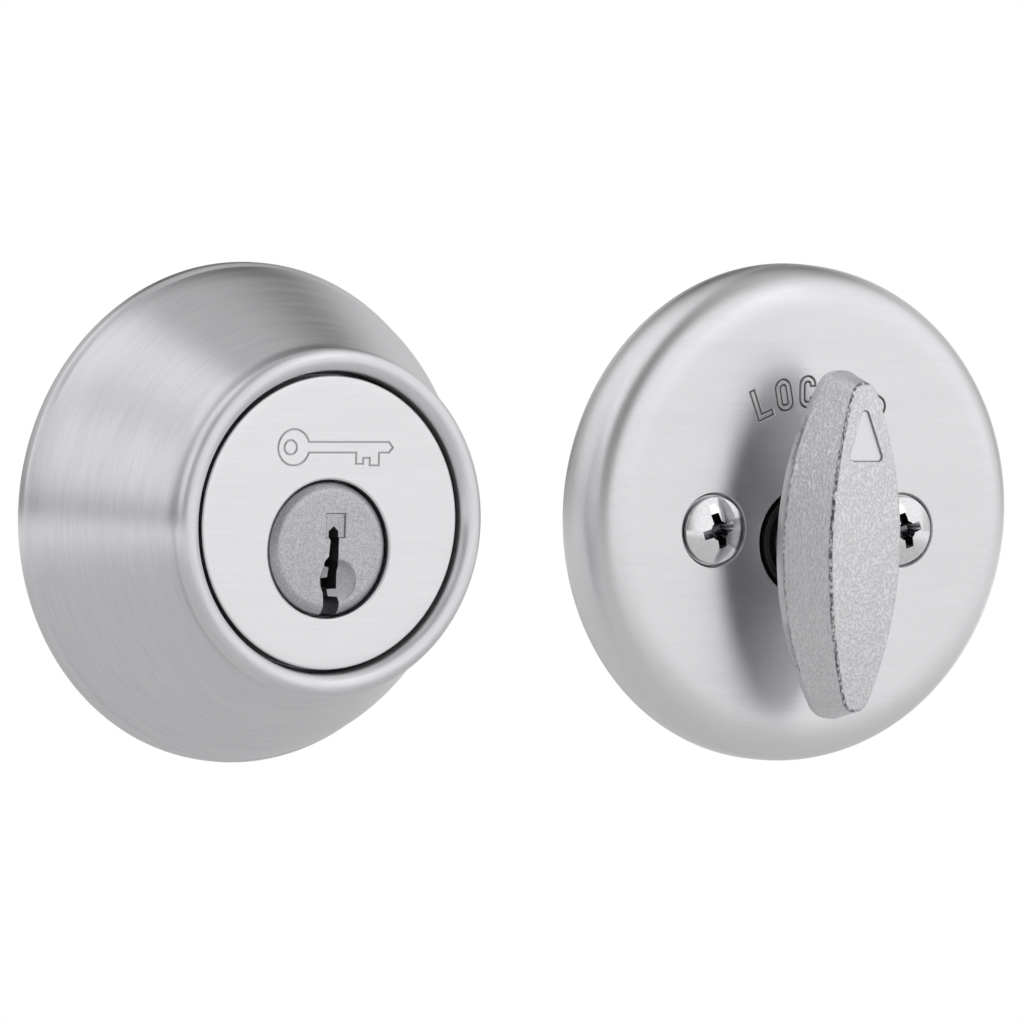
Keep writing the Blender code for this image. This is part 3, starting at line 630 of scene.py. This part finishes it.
# Each letter is a skeleton of straight strokes and arcs in a cell one high; its contour is engraved.
def letterContours(letter, height):
    w, h, s = height * 0.56, height, height * 0.17
    q = np.array
    if letter == "L":
        return [q([(0, 0), (w, 0), (w, s), (s, s), (s, h), (0, h)])]
    if letter == "E":
        m = (h - s) / 2
        return [q([(0, 0), (w, 0), (w, s), (s, s), (s, m), (w * 0.85, m), (w * 0.85, m + s),
                   (s, m + s), (s, h - s), (w, h - s), (w, h), (0, h)])]
    if letter == "K":
        return [q([(0, 0), (s, 0), (s, h * 0.36), (s * 1.5, h * 0.46), (w - s * 1.1, 0), (w, 0),
                   (w * 0.62, h * 0.56), (w, h), (w - s * 1.1, h), (s, h * 0.58), (s, h), (0, h)])]
    r = w / 2
    if letter == "D":
        outer = np.vstack([[(0, 0), (w * 0.4, 0)], arc(w * 0.4, w * 0.6, w * 0.6, -90, 0, 8)[1:],
                           arc(w * 0.4, h - w * 0.6, w * 0.6, 0, 90, 8), [(0, h)]])
        i = w * 0.6 - s
        inner = np.vstack([[(s, s), (w * 0.4, s)], arc(w * 0.4, s + i, i, -90, 0, 6)[1:],
                           arc(w * 0.4, h - s - i, i, 0, 90, 6), [(s, h - s)]])
        return [outer, inner]
    outer = np.vstack([arc(r, r, r, 180, 360, 16), arc(r, h - r, r, 0, 180, 16)])
    inner = np.vstack([arc(r, r, r - s, 180, 360, 14), arc(r, h - r, r - s, 0, 180, 14)])
    if letter == "O":
        return [outer, inner]
    lower, upper = h * 0.32, h * 0.68  # C: both bowls stop short of the middle on the right
    return [np.vstack([[(w, lower)], arc(r, r, r, 0, -180, 16), arc(r, h - r, r, 180, 0, 16), [(w, upper)],
                       [(w - s, upper)], arc(r, h - r, r - s, 0, 180, 14),
                       arc(r, r, r - s, 180, 360, 14), [(w - s, lower)]])]


def wordGrooves(x):
    grooves = []
    middle = (len(word["letters"]) - 1) / 2
    for n, letter in enumerate(word["letters"]):
        lean = radians((middle - n) * word["step"] - word["turn"])
        for m, line in enumerate(letterContours(letter, word["height"])):
            line = line - [word["height"] * 0.28, word["height"] / 2]
            up = np.array([-sin(lean), cos(lean)])
            right = np.array([cos(lean), sin(lean)])
            laid = line[:, :1] * right + (line[:, 1:] + word["radius"]) * up
            grooves.append(contourTube(f"letter{n}_{m}", laid, word["groove"], rose["face"] - 0.05 * mm, x))
    return grooves


def makeRose():
    r = rose
    shoulder = r["face"] - r["crown"] - r["wallTop"]
    t = np.linspace(0, 1, 14)[:, None]
    dome = np.column_stack([t * (trimRadius - r["shoulder"]), r["face"] - r["crown"] * t ** 2])
    # the shoulder is a superellipse: (radial / a)^n + (depth / b)^n = 1
    angle = np.linspace(pi / 2, 0, 36)
    power = 2 / r["fullness"]
    side = np.column_stack([trimRadius - r["shoulder"] + r["shoulder"] * np.cos(angle) ** power,
                            r["wallTop"] + shoulder * np.sin(angle) ** power])
    side[0, 0], side[-1] = trimRadius - r["shoulder"], (trimRadius, r["wallTop"])
    ceiling = r["face"] - r["crown"] - r["wall"]
    inside = trimRadius - r["wall"]
    bend = np.linspace(0, pi / 2, 16)
    inner = np.column_stack([inside - r["shoulder"] + r["shoulder"] * np.cos(bend),
                             r["rim"] + (ceiling - r["rim"]) * np.sin(bend)])
    back = filleted([(trimRadius, r["wallTop"]), (trimRadius, 0), (inside, 0), (inside, r["rim"])],
                    [0, 0.2 * mm, 0.2 * mm, 0])[1:-1]
    outline = np.vstack([dome, side[1:], back, inner, [(0, ceiling)]])
    piece = turned("rose", outline, turnX, trimUp, roseChrome, steps=256)
    top = r["face"] + mm
    mouth = r["hole"] + r["holeEdge"]  # a small chamfer breaks the hole's mouth
    hole = [(0, top), (mouth + 1.1 * mm, top), (mouth, r["face"] - 0.05 * mm),
            (r["hole"], r["face"] - 0.35 * mm), (r["hole"], 1.5 * mm), (0, 1.5 * mm)]
    cutters = [turned("turnHole", hole, turnX, 0, None, steps=128)]
    seat = [(0, top), (r["seat"] + 0.9 * mm, top), (r["seat"], r["seatFloor"] + 0.35 * mm),
            (r["seat"] - 0.2 * mm, r["seatFloor"]), (r["screwHole"], r["seatFloor"]),
            (r["screwHole"], 1.5 * mm), (0, 1.5 * mm)]
    cutters += [turned(f"seat{side}", seat, turnX, screwUp, None, 96, side * screwSide) for side in (-1, 1)]
    cutters += wordGrooves(turnX)
    carve(piece, cutters)
    brushAcross(piece)

    def inWord(x, z, depth):
        # painted shade darkens the engraved letters
        out = np.hypot(x - turnX, z)
        share = np.hypot(x - turnX, z - trimUp) / (trimRadius - r["shoulder"])
        surface = r["face"] - r["crown"] * share ** 2
        engraved = (depth < surface - 0.06 * mm) & (depth > surface - 0.5 * mm)
        return engraved & (np.abs(out - word["radius"]) < word["reach"]) & (z > word["bottom"])

    markGrooves(piece, inWord)
    finishPiece(piece, "door_trim", "satin_chrome", "interior_rose")


makeRose()
print("rose made")


# The thumbturn: lens-shaped flange, sides that slope in, a narrower lens for a face
turn = {"bow": 1.6 * mm, "height": 46.6 * mm, "width": 18.3 * mm, "tip": 3.6 * mm, "faceHeight": 44.0 * mm,
        "faceWidth": 10.7 * mm, "faceTip": 2.0 * mm, "back": 15.3 * mm, "flange": 17.4 * mm,
        "front": -turnLow[1], "neck": 5.6 * mm, "neckEnd": 9.3 * mm, "spindle": 4.5 * mm,
        "end": -turnHigh[1], "clip": 3.9 * mm, "clipTop": -0.9 * mm, "clipBottom": -1.9 * mm,
        "socket": 3.3 * mm, "socketDepth": 8.0 * mm}
pointer = {"top": 18.2 * mm, "height": 6.6 * mm, "width": 4.9 * mm, "sink": 0.35 * mm, "edge": 0.16 * mm,
           "corner": 0.55 * mm}


def lens(height, width, tip, steps=40, tipSteps=10):
    rise, reach = height / 2 - tip, width / 2 - tip
    offset = (rise ** 2 - reach ** 2) / (2 * reach)
    meet = np.degrees(atan2(rise, offset))
    side = offset + width / 2
    return np.vstack([arc(-offset, 0, side, -meet, meet, steps)[:-1],
                      arc(0, rise, tip, meet, 180 - meet, tipSteps)[:-1],
                      arc(offset, 0, side, 180 - meet, 180 + meet, steps)[:-1],
                      arc(0, -rise, tip, 180 + meet, 360 - meet, tipSteps)[:-1]])


def bowAt(up):
    return turn["bow"] * (up / (turn["height"] / 2)) ** 2


def outlineDistance(flat, outline):
    # how far each flat point lies from an outline's nearest point, and whether it is inside
    ends = np.roll(outline, -1, 0)
    along = ends - outline
    nearest = np.full(len(flat), 1.0)
    inside = np.zeros(len(flat), bool)
    for start, step, end in zip(outline, along, ends):
        share = np.clip(((flat - start) @ step) / (step @ step), 0, 1)[:, None]
        nearest = np.minimum(nearest, np.linalg.norm(flat - start - share * step, axis=1))
        crosses = (start[1] > flat[:, 1]) != (end[1] > flat[:, 1])
        rise = end[1] - start[1] if end[1] != start[1] else 1.0
        inside ^= crosses & (flat[:, 0] < start[0] + (flat[:, 1] - start[1]) / rise * step[0])
    return nearest, inside


def markTurn(piece, mark, sunk):
    # "grained" is 1 where the mould was grained; the crease attribute is painted shade, 1 on the left side
    # of the edge between the slopes and the face
    t = turn
    points = pointsOf(piece.data)
    flat = np.column_stack([points[:, 0] - turnX, points[:, 2]])
    depth = -points[:, 1] + bowAt(flat[:, 1])
    fromMark, insideMark = outlineDistance(flat, mark)
    insideMark |= fromMark < 0.02 * mm
    onFloor = insideMark & (depth < sunk + 0.05 * mm)
    grained = (depth > t["flange"] + 0.05 * mm) & ~onFloor
    fromFace = outlineDistance(flat, lens(t["faceHeight"], t["faceWidth"], t["faceTip"]))[0]
    creaseShade = (fromFace < 0.17 * mm) & (depth > t["front"] - 0.3 * mm) & (flat[:, 0] < 0.5 * mm)
    # painted shade darkens the groove round the pointer all along, and the flange's corner only on the left
    pointerEdge = (fromMark < 0.25 * mm) & ~onFloor & (depth < t["front"] - 0.05 * mm)
    pointerEdge &= depth > sunk - 0.3 * mm
    corner = (np.abs(depth - t["flange"] + 0.05 * mm) < 0.12 * mm) & (flat[:, 0] < 0)
    creaseShade = np.maximum(creaseShade, 0.7 * corner)
    for name, values in (("grained", grained), ("creaseShade", creaseShade), ("groove", pointerEdge)):
        setAttribute(piece.data, name, values)


def makeTurn():
    t = turn

    def ring(share, inset, depth):
        # share 0 is the flange's outline and 1 the face's; inset draws the outline in evenly
        low = np.array([t["height"], t["width"], t["tip"]])
        high = np.array([t["faceHeight"], t["faceWidth"], t["faceTip"]])
        flat = lens(*(low + (high - low) * share - [2 * inset, 2 * inset, inset]))
        return np.column_stack([flat, np.full(len(flat), depth)])

    rings = [ring(0, i * mm, t["back"] + d * mm) for i, d in ((0.5, 0), (0.15, 0.12), (0, 0.4))]
    rings += [ring(0, 0, t["flange"] - 0.3 * mm), ring(0, 0.04 * mm, t["flange"] - 0.1 * mm),
              ring(0.01, 0.1 * mm, t["flange"] - 0.02 * mm), ring(0.03, 0.12 * mm, t["flange"] + 0.1 * mm)]
    rise = t["front"] - t["flange"]
    rings += [ring(s, 0.12 * mm * (1 - s), t["flange"] + rise * s) for s in np.linspace(0.08, 0.94, 18)]
    rings += [ring(0.96, 0, t["front"] - 0.2 * mm), ring(0.985, 0.02 * mm, t["front"] - 0.07 * mm),
              ring(1, 0.15 * mm, t["front"] - 0.01 * mm), ring(1, 0.4 * mm, t["front"])]
    count = len(rings[0])
    for share in (0.75, 0.5, 0.25):
        rings.append(np.column_stack([ring(1, 0.4 * mm, 0)[:, :2] * share, np.full(count, t["front"])]))
        rings.insert(0, np.column_stack([ring(0, 0.5 * mm, 0)[:, :2] * share, np.full(count, t["back"])]))
    points = np.vstack([[(0, 0, t["back"])]] + rings + [[(0, 0, t["front"])]])
    # both tips bend towards the door: the front drops by bow * (up / half height) squared, the back by less
    share = 0.45 + 0.55 * (points[:, 2] - t["back"]) / (t["front"] - t["back"])
    points[:, 2] -= bowAt(points[:, 1]) * share
    index = 1 + np.arange(len(rings) * count).reshape(len(rings), count)
    faces = bands(index)
    first, last = index[0], index[-1]
    faces += np.column_stack([np.zeros(count, int), np.roll(first, -1), first]).tolist()
    faces += np.column_stack([last, np.roll(last, -1), np.full(count, len(points) - 1)]).tolist()
    piece = smooth(newPiece("thumb_turn", points, faces, turnX, turnChrome))
    spindle = filleted([(0, t["back"] + mm), (t["neck"], t["back"] + mm), (t["neck"], t["neckEnd"]),
                        (t["spindle"], t["neckEnd"]), (t["spindle"], t["clipTop"]),
                        (t["clip"], t["clipTop"]), (t["clip"], t["clipBottom"]),
                        (t["spindle"], t["clipBottom"]), (t["spindle"], t["end"]), (0, t["end"])],
                       [0, 0, 0.3 * mm, 0, 0, 0, 0, 0, 0.3 * mm, 0], closed=False)
    carve(piece, [turned("spindle", spindle, turnX, 0, None, steps=96)], "UNION")
    socket = arc(0, 0, t["socket"], -41.8, 221.8, 48)  # a round bore with one flat side
    p = pointer
    c = p["corner"]
    slant = np.degrees(atan2(p["height"], p["width"] / 2))
    low = p["top"] - p["height"]
    mark = np.vstack([arc(0, p["top"] - c, c, 90 - slant, 90 + slant, 8),
                      arc(c - p["width"] / 2, low + c, c, 90 + slant, 270, 8),
                      arc(p["width"] / 2 - c, low + c, c, -90, 90 - slant, 8)])
    sunk = t["front"] - p["sink"]
    cutters = [prism("pointer", mark, sunk, t["front"] + mm, turnX),
               contourTube("pointerEdge", mark, p["edge"], t["front"] - 0.02 * mm, turnX)]
    for cutter in cutters:
        bent = pointsOf(cutter.data).astype(float)
        bent[:, 1] += bowAt(bent[:, 2])
        cutter.data.vertices.foreach_set("co", bent.ravel())
    carve(piece, [prism("socket", socket, t["end"] - mm, t["socketDepth"], turnX)] + cutters)
    markTurn(piece, mark, sunk)
    finishPiece(piece, "turn", "cast_satin_chrome", "thumbturn")


makeTurn()
print("thumbturn made")


# The black bush: a stepped sleeve with a flange behind the rose
bush = {"bore": 4.8 * mm, "mouth": 6.2 * mm, "mouthDepth": 0.8 * mm, "sleeve": 6.96 * mm,
        "flange": 9.26 * mm, "flangeTop": 6.75 * mm, "flangeBottom": 5.75 * mm}


def makeBush():
    b = bush
    front, back = -bushLow[1], -bushHigh[1]
    floor = front - b["mouthDepth"]
    outline = [(b["bore"], floor), (b["mouth"], floor), (b["mouth"], front), (b["sleeve"], front),
               (b["sleeve"], b["flangeTop"]), (b["flange"], b["flangeTop"]),
               (b["flange"], b["flangeBottom"]), (b["sleeve"], b["flangeBottom"]),
               (b["sleeve"], back), (b["bore"], back)]
    fillets = np.array([0.1, 0.05, 0.15, 0.15, 0, 0.2, 0.2, 0, 0.2, 0.2]) * mm
    outline = filleted(outline, fillets)
    piece = turned("turn_bush", outline, turnX, 0, blackAcetal, steps=160)
    finishPiece(piece, "door_trim", "black_acetal", "turn_bushing")


makeBush()


# The mounting screws: oval heads with a cross recess, and a rolled thread on each shank
screw = {"head": 4.5 * mm, "dome": 1.4 * mm, "bottom": 8.15 * mm, "edge": 0.5 * mm, "shank": 2.0 * mm,
         "pitch": 0.8 * mm, "cut": 0.35 * mm, "reach": -25.0 * mm, "plain": 4.0 * mm, "slotHalf": 0.66 * mm,
         "slotReach": 2.7 * mm, "crossTurn": 18}


def makeScrew(side):
    s = screw
    edge = s["bottom"] + s["edge"]
    domeRadius = (s["head"] ** 2 + s["dome"] ** 2) / (2 * s["dome"])
    spread = np.degrees(atan2(s["head"], domeRadius - s["dome"]))
    dome = arc(0, edge + s["dome"] - domeRadius, domeRadius, 90, 90 - spread, 16)
    dome[0, 0] = 0
    below = [dome[-2], dome[-1], (s["head"], s["bottom"]), (s["shank"], s["bottom"]),
             (s["shank"], s["plain"] - mm), (0, s["plain"] - mm)]
    below = filleted(below, [0, 0.15 * mm, 0.15 * mm, 0, 0, 0], closed=False)
    outline = np.vstack([dome[:-1], below[1:]])
    head = turned(f"screw_{side}", outline, turnX, screwUp, screwSteel, 96, side * screwSide)
    # thread: the radius dips once a turn, as a triangle wave of depth / pitch + angle
    steps, rows = 40, 440
    angle = np.arange(steps) * 2 * pi / steps
    depth = np.linspace(s["plain"], s["reach"], rows)
    wave = np.abs(((depth[:, None] / s["pitch"] + angle / (2 * pi)) % 1) * 2 - 1)
    fade = np.clip((s["plain"] - depth) / (2 * s["pitch"]), 0, 1)[:, None]
    taper = np.clip((depth - s["reach"]) / (1.0 * mm), 0, 1)[:, None]
    radius = (s["shank"] - s["cut"] * np.clip(wave * 1.3 - 0.15, 0, 1) * fade) * (0.6 + 0.4 * taper)
    grid = np.stack([radius * np.cos(angle) + side * screwSide, radius * np.sin(angle) + screwUp,
                     depth[:, None] + 0 * angle], axis=2)
    index = np.arange(rows * steps).reshape(rows, steps)
    thread = newPiece(f"thread{side}", grid.reshape(-1, 3), capped(index), turnX, None)
    carve(head, [thread], "UNION")
    # the cross recess: two tapered slots and a cone between them
    top = edge + s["dome"]
    cutters = []
    for n, turnBy in enumerate((radians(s["crossTurn"]), radians(s["crossTurn"] + 90))):
        half, length = s["slotHalf"], s["slotReach"]
        mouth = np.array([(-half, -length), (half, -length), (half, length), (-half, length)])
        spun = np.array([[cos(turnBy), -sin(turnBy)], [sin(turnBy), cos(turnBy)]])
        corners = np.vstack([np.column_stack([0.5 * mouth @ spun.T, np.full(4, top - 2.2 * mm)]),
                             np.column_stack([mouth @ spun.T, np.full(4, top + 0.2 * mm)])])
        corners += [side * screwSide, screwUp, 0]
        faces = capped(np.arange(8).reshape(2, 4))
        cutters.append(newPiece(f"slot{side}{n}", corners, faces, turnX, None))
    well = [(0, top + mm), (1.5 * mm, top + mm), (1.25 * mm, top - 0.5 * mm),
            (0.25 * mm, top - 2.3 * mm), (0, top - 2.3 * mm)]
    cutters.append(turned(f"well{side}", well, turnX, screwUp, None, 48, side * screwSide))
    carve(head, cutters)

    def inRecess(x, z, depth):
        # painted shade darkens the cross recess
        out = np.hypot(x - turnX - side * screwSide, z - screwUp)
        domeTop = edge + s["dome"] - domeRadius + np.sqrt(np.maximum(domeRadius ** 2 - out ** 2, 0))
        return (out < 2.6 * mm) & (depth < domeTop - 0.12 * mm) & (depth > s["bottom"] - mm)

    markGrooves(head, inRecess)
    node = "mounting_screw_left" if side < 0 else "mounting_screw_right"
    finishPiece(head, "door_trim", "bright_screw_steel", node)


for side in (-1, 1):
    makeScrew(side)
print("bush and screws made")


# The pin springs: round wire coils, close wound at both ends.
spring = {"wire": 0.2 * mm, "turns": 7.0, "closed": 1.0, "lift": 1.5 * mm, "round": 40, "sides": 10}


def makeSpring(number):
    # the centre line is a helix whose rise eases in and out over the closed turns
    s = spring
    low, high = span(f"pin_spring_{number}")
    middle = (low + high) / 2
    coil = (high[0] - low[0]) / 2 - s["wire"]
    angle = np.linspace(0, 2 * pi * s["turns"], int(s["turns"] * s["round"]) + 1)
    ends = s["closed"] * 2 * pi
    flat = 2.2 * s["wire"]
    bottom, top = low[2] + s["wire"], high[2] - s["wire"]
    turns = [0, ends, angle[-1] - ends, angle[-1]]
    rise = np.interp(angle, turns, [bottom, bottom + flat, top - flat, top])
    across = np.arange(s["sides"]) * 2 * pi / s["sides"]
    reach = coil + s["wire"] * np.cos(across)
    grid = np.stack([np.cos(angle)[:, None] * reach + middle[0], np.sin(angle)[:, None] * reach + middle[1],
                     rise[:, None] + s["wire"] * np.sin(across)], axis=2)
    index = np.arange(grid.shape[0] * s["sides"]).reshape(grid.shape[:2])
    points = grid.reshape(-1, 3)[:, [0, 2, 1]] * [1, 1, -1]
    piece = smooth(newPiece(f"pin_spring_coil_{number}", points, capped(index), 0, platedSteel))
    finishPiece(piece, "door_trim", "zinc_plated_steel", f"pin_spring_{number}")
    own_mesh(piece)


for number in range(1, 6):
    makeSpring(number)
print("springs made")


# The CAD nodes that stay get their finishes
finishes = {"cylinder_housing": zincCasting, "spring_cover": turnedBrass, "tailpiece": platedSteel,
            "tailpiece_clip": platedSteel, "plug_clip": platedSteel, "backing_plate": platedSteel,
            "turn_washer": platedSteel, "turn_clip": platedSteel}
for n in range(1, 6):
    finishes[f"key_pin_{n}"] = turnedBrass
    finishes[f"driver_pin_{n}"] = platedSteel
for name, material in finishes.items():
    for holder in nodes[name].material_slots:
        holder.material = material
print("finishes set on the remaining nodes")


# Floor, light and camera
floorDisc = {"colour": "EEEEEE", "radius": 2.4, "drop": 0.12, "fadeFrom": 0.3, "fadeTo": 1.0}


def makeFloor():
    # the floor lies a hand below the lock and fades to white with distance
    f = floorDisc
    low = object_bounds()[0]
    bpy.ops.mesh.primitive_circle_add(vertices=128, radius=f["radius"], fill_type="NGON",
                                      location=(0, 0, low[2] - f["drop"]))
    floor = bpy.context.object
    floor.name = "floor"
    material, tree, shader = newMaterial("pale_floor", f["colour"], 0.0, 0.7)
    out = tree.nodes["Material Output"]
    place = addNode(tree, "ShaderNodeTexCoord")
    away = addNode(tree, "ShaderNodeVectorMath", {"operation": "LENGTH"}, None,
                   {0: place.outputs["Object"]})
    fade = mapped(tree, away.outputs["Value"], f["fadeFrom"], f["fadeTo"], kind="SMOOTHSTEP")
    white = addNode(tree, "ShaderNodeEmission", None, {"Color": (1, 1, 1, 1), "Strength": 1.0})
    blend = addNode(tree, "ShaderNodeMixShader", None, None,
                    {"Fac": fade, 1: shader.outputs["BSDF"], 2: white.outputs["Emission"]})
    tree.links.new(blend.outputs["Shader"], out.inputs["Surface"])
    floor.data.materials.append(material)


# Soft boxes as metal sees them: each is full bright within one angle of its aim and gone by the next.
# The gap between the front and left boxes is where the camera would stand.
softBoxes = {"front": {"aim": (0.60, -0.79, 0.05), "full": 50, "gone": 80, "light": 0.82},
             "aboveLeft": {"aim": (-0.70, 0.35, 0.62), "full": 30, "gone": 43, "light": 0.58},
             "above": {"aim": (-0.10, 0.42, 0.90), "full": 12, "gone": 48, "light": 0.33},
             "leftHigh": {"aim": (-0.92, -0.12, 0.36), "full": 10, "gone": 24, "light": 0.42},
             "left": {"aim": (-0.99, -0.06, 0.0), "full": 8, "gone": 19, "light": 0.30},
             "behind": {"aim": (0.80, 0.56, 0.22), "full": 13, "gone": 30, "light": 0.42},
             "flagBehind": {"aim": (0.42, 0.70, 0.57), "full": 10, "gone": 24, "light": -0.36},
             "flagRight": {"aim": (0.98, 0.10, -0.12), "full": 8, "gone": 38, "light": -0.34}}
roomLight = 0.27


def makeWorld():
    # white for the camera; what metal sees is the soft boxes above in a dim white room
    world = bpy.data.worlds.new("studio")
    scene.world = world
    world.use_nodes = True
    tree = world.node_tree
    tree.nodes.clear()
    place = addNode(tree, "ShaderNodeTexCoord")
    room = addNode(tree, "ShaderNodeValue")
    room.outputs[0].default_value = roomLight
    total = room.outputs[0]
    for box in softBoxes.values():
        aim = addNode(tree, "ShaderNodeVectorMath", {"operation": "DOT_PRODUCT"},
                      {1: Vector(box["aim"]).normalized()}, {0: place.outputs["Generated"]})
        gone, full = cos(radians(box["gone"])), cos(radians(box["full"]))
        glow = mapped(tree, aim.outputs["Value"], gone, full, 0.0, box["light"], "SMOOTHSTEP")
        total = combined(tree, "ADD", total, glow)
    total = addNode(tree, "ShaderNodeMath", {"operation": "MAXIMUM"}, {1: 0.0}, {0: total}).outputs["Value"]
    path = addNode(tree, "ShaderNodeLightPath")
    shown = combined(tree, "MAXIMUM", path.outputs["Is Camera Ray"], path.outputs["Is Transmission Ray"])
    strength = addNode(tree, "ShaderNodeMix", {"data_type": "FLOAT"}, {"B": 1.0},
                       {"Factor": shown, "A": total})
    sky = addNode(tree, "ShaderNodeBackground", None, {"Color": (1, 1, 1, 1)},
                  {"Strength": strength.outputs["Result"]})
    addNode(tree, "ShaderNodeOutputWorld", None, None, {"Surface": sky.outputs["Background"]})


lamps = {"key_lamp": {"place": (0.55, -0.95, 0.75), "size": 0.35, "radiance": 0.5},
         "fill_lamp": {"place": (-0.55, -0.25, 1.1), "size": 0.4, "radiance": 0.18}}
lampAim = Vector((0.04, 0, 0))


def addLamp(name, place, size, radiance):
    # a square soft box aimed at the lock; its power is radiance * pi * area
    lamp = bpy.data.lights.new(name, "AREA")
    lamp.size = size
    lamp.energy = radiance * pi * size ** 2
    holder = bpy.data.objects.new(name, lamp)
    holder.location = place
    holder.rotation_euler = (lampAim - Vector(place)).to_track_quat("-Z", "Y").to_euler()
    scene.collection.objects.link(holder)


makeFloor()
makeWorld()
for lampName, lamp in lamps.items():
    addLamp(lampName, lamp["place"], lamp["size"], lamp["radiance"])

view = {"azimuth": -30.9, "elevation": 2.9, "roll": 1.7, "lens": 1500.0, "sensor": 36.0,
        "across": 136.45 * mm, "target": (42.95 * mm, 0.0, 3.45 * mm)}


def makeCamera():
    v = view
    data = bpy.data.cameras.new("camera")
    data.lens, data.sensor_width = v["lens"], v["sensor"]
    distance = v["across"] * v["lens"] / v["sensor"]
    a, e = radians(v["azimuth"]), radians(v["elevation"])
    back = Vector((sin(a) * cos(e), -cos(a) * cos(e), sin(e)))
    camera = bpy.data.objects.new("camera", data)
    camera.location = Vector(v["target"]) + back * distance
    aim = (-back).to_track_quat("-Z", "Y").to_matrix()
    camera.rotation_euler = (aim @ Matrix.Rotation(radians(v["roll"]), 3, "Z")).to_euler()
    data.clip_start, data.clip_end = distance * 0.5, distance * 2
    scene.collection.objects.link(camera)
    scene.camera = camera


makeCamera()
scene.view_settings.view_transform = "Standard"
print("floor, light and camera set")
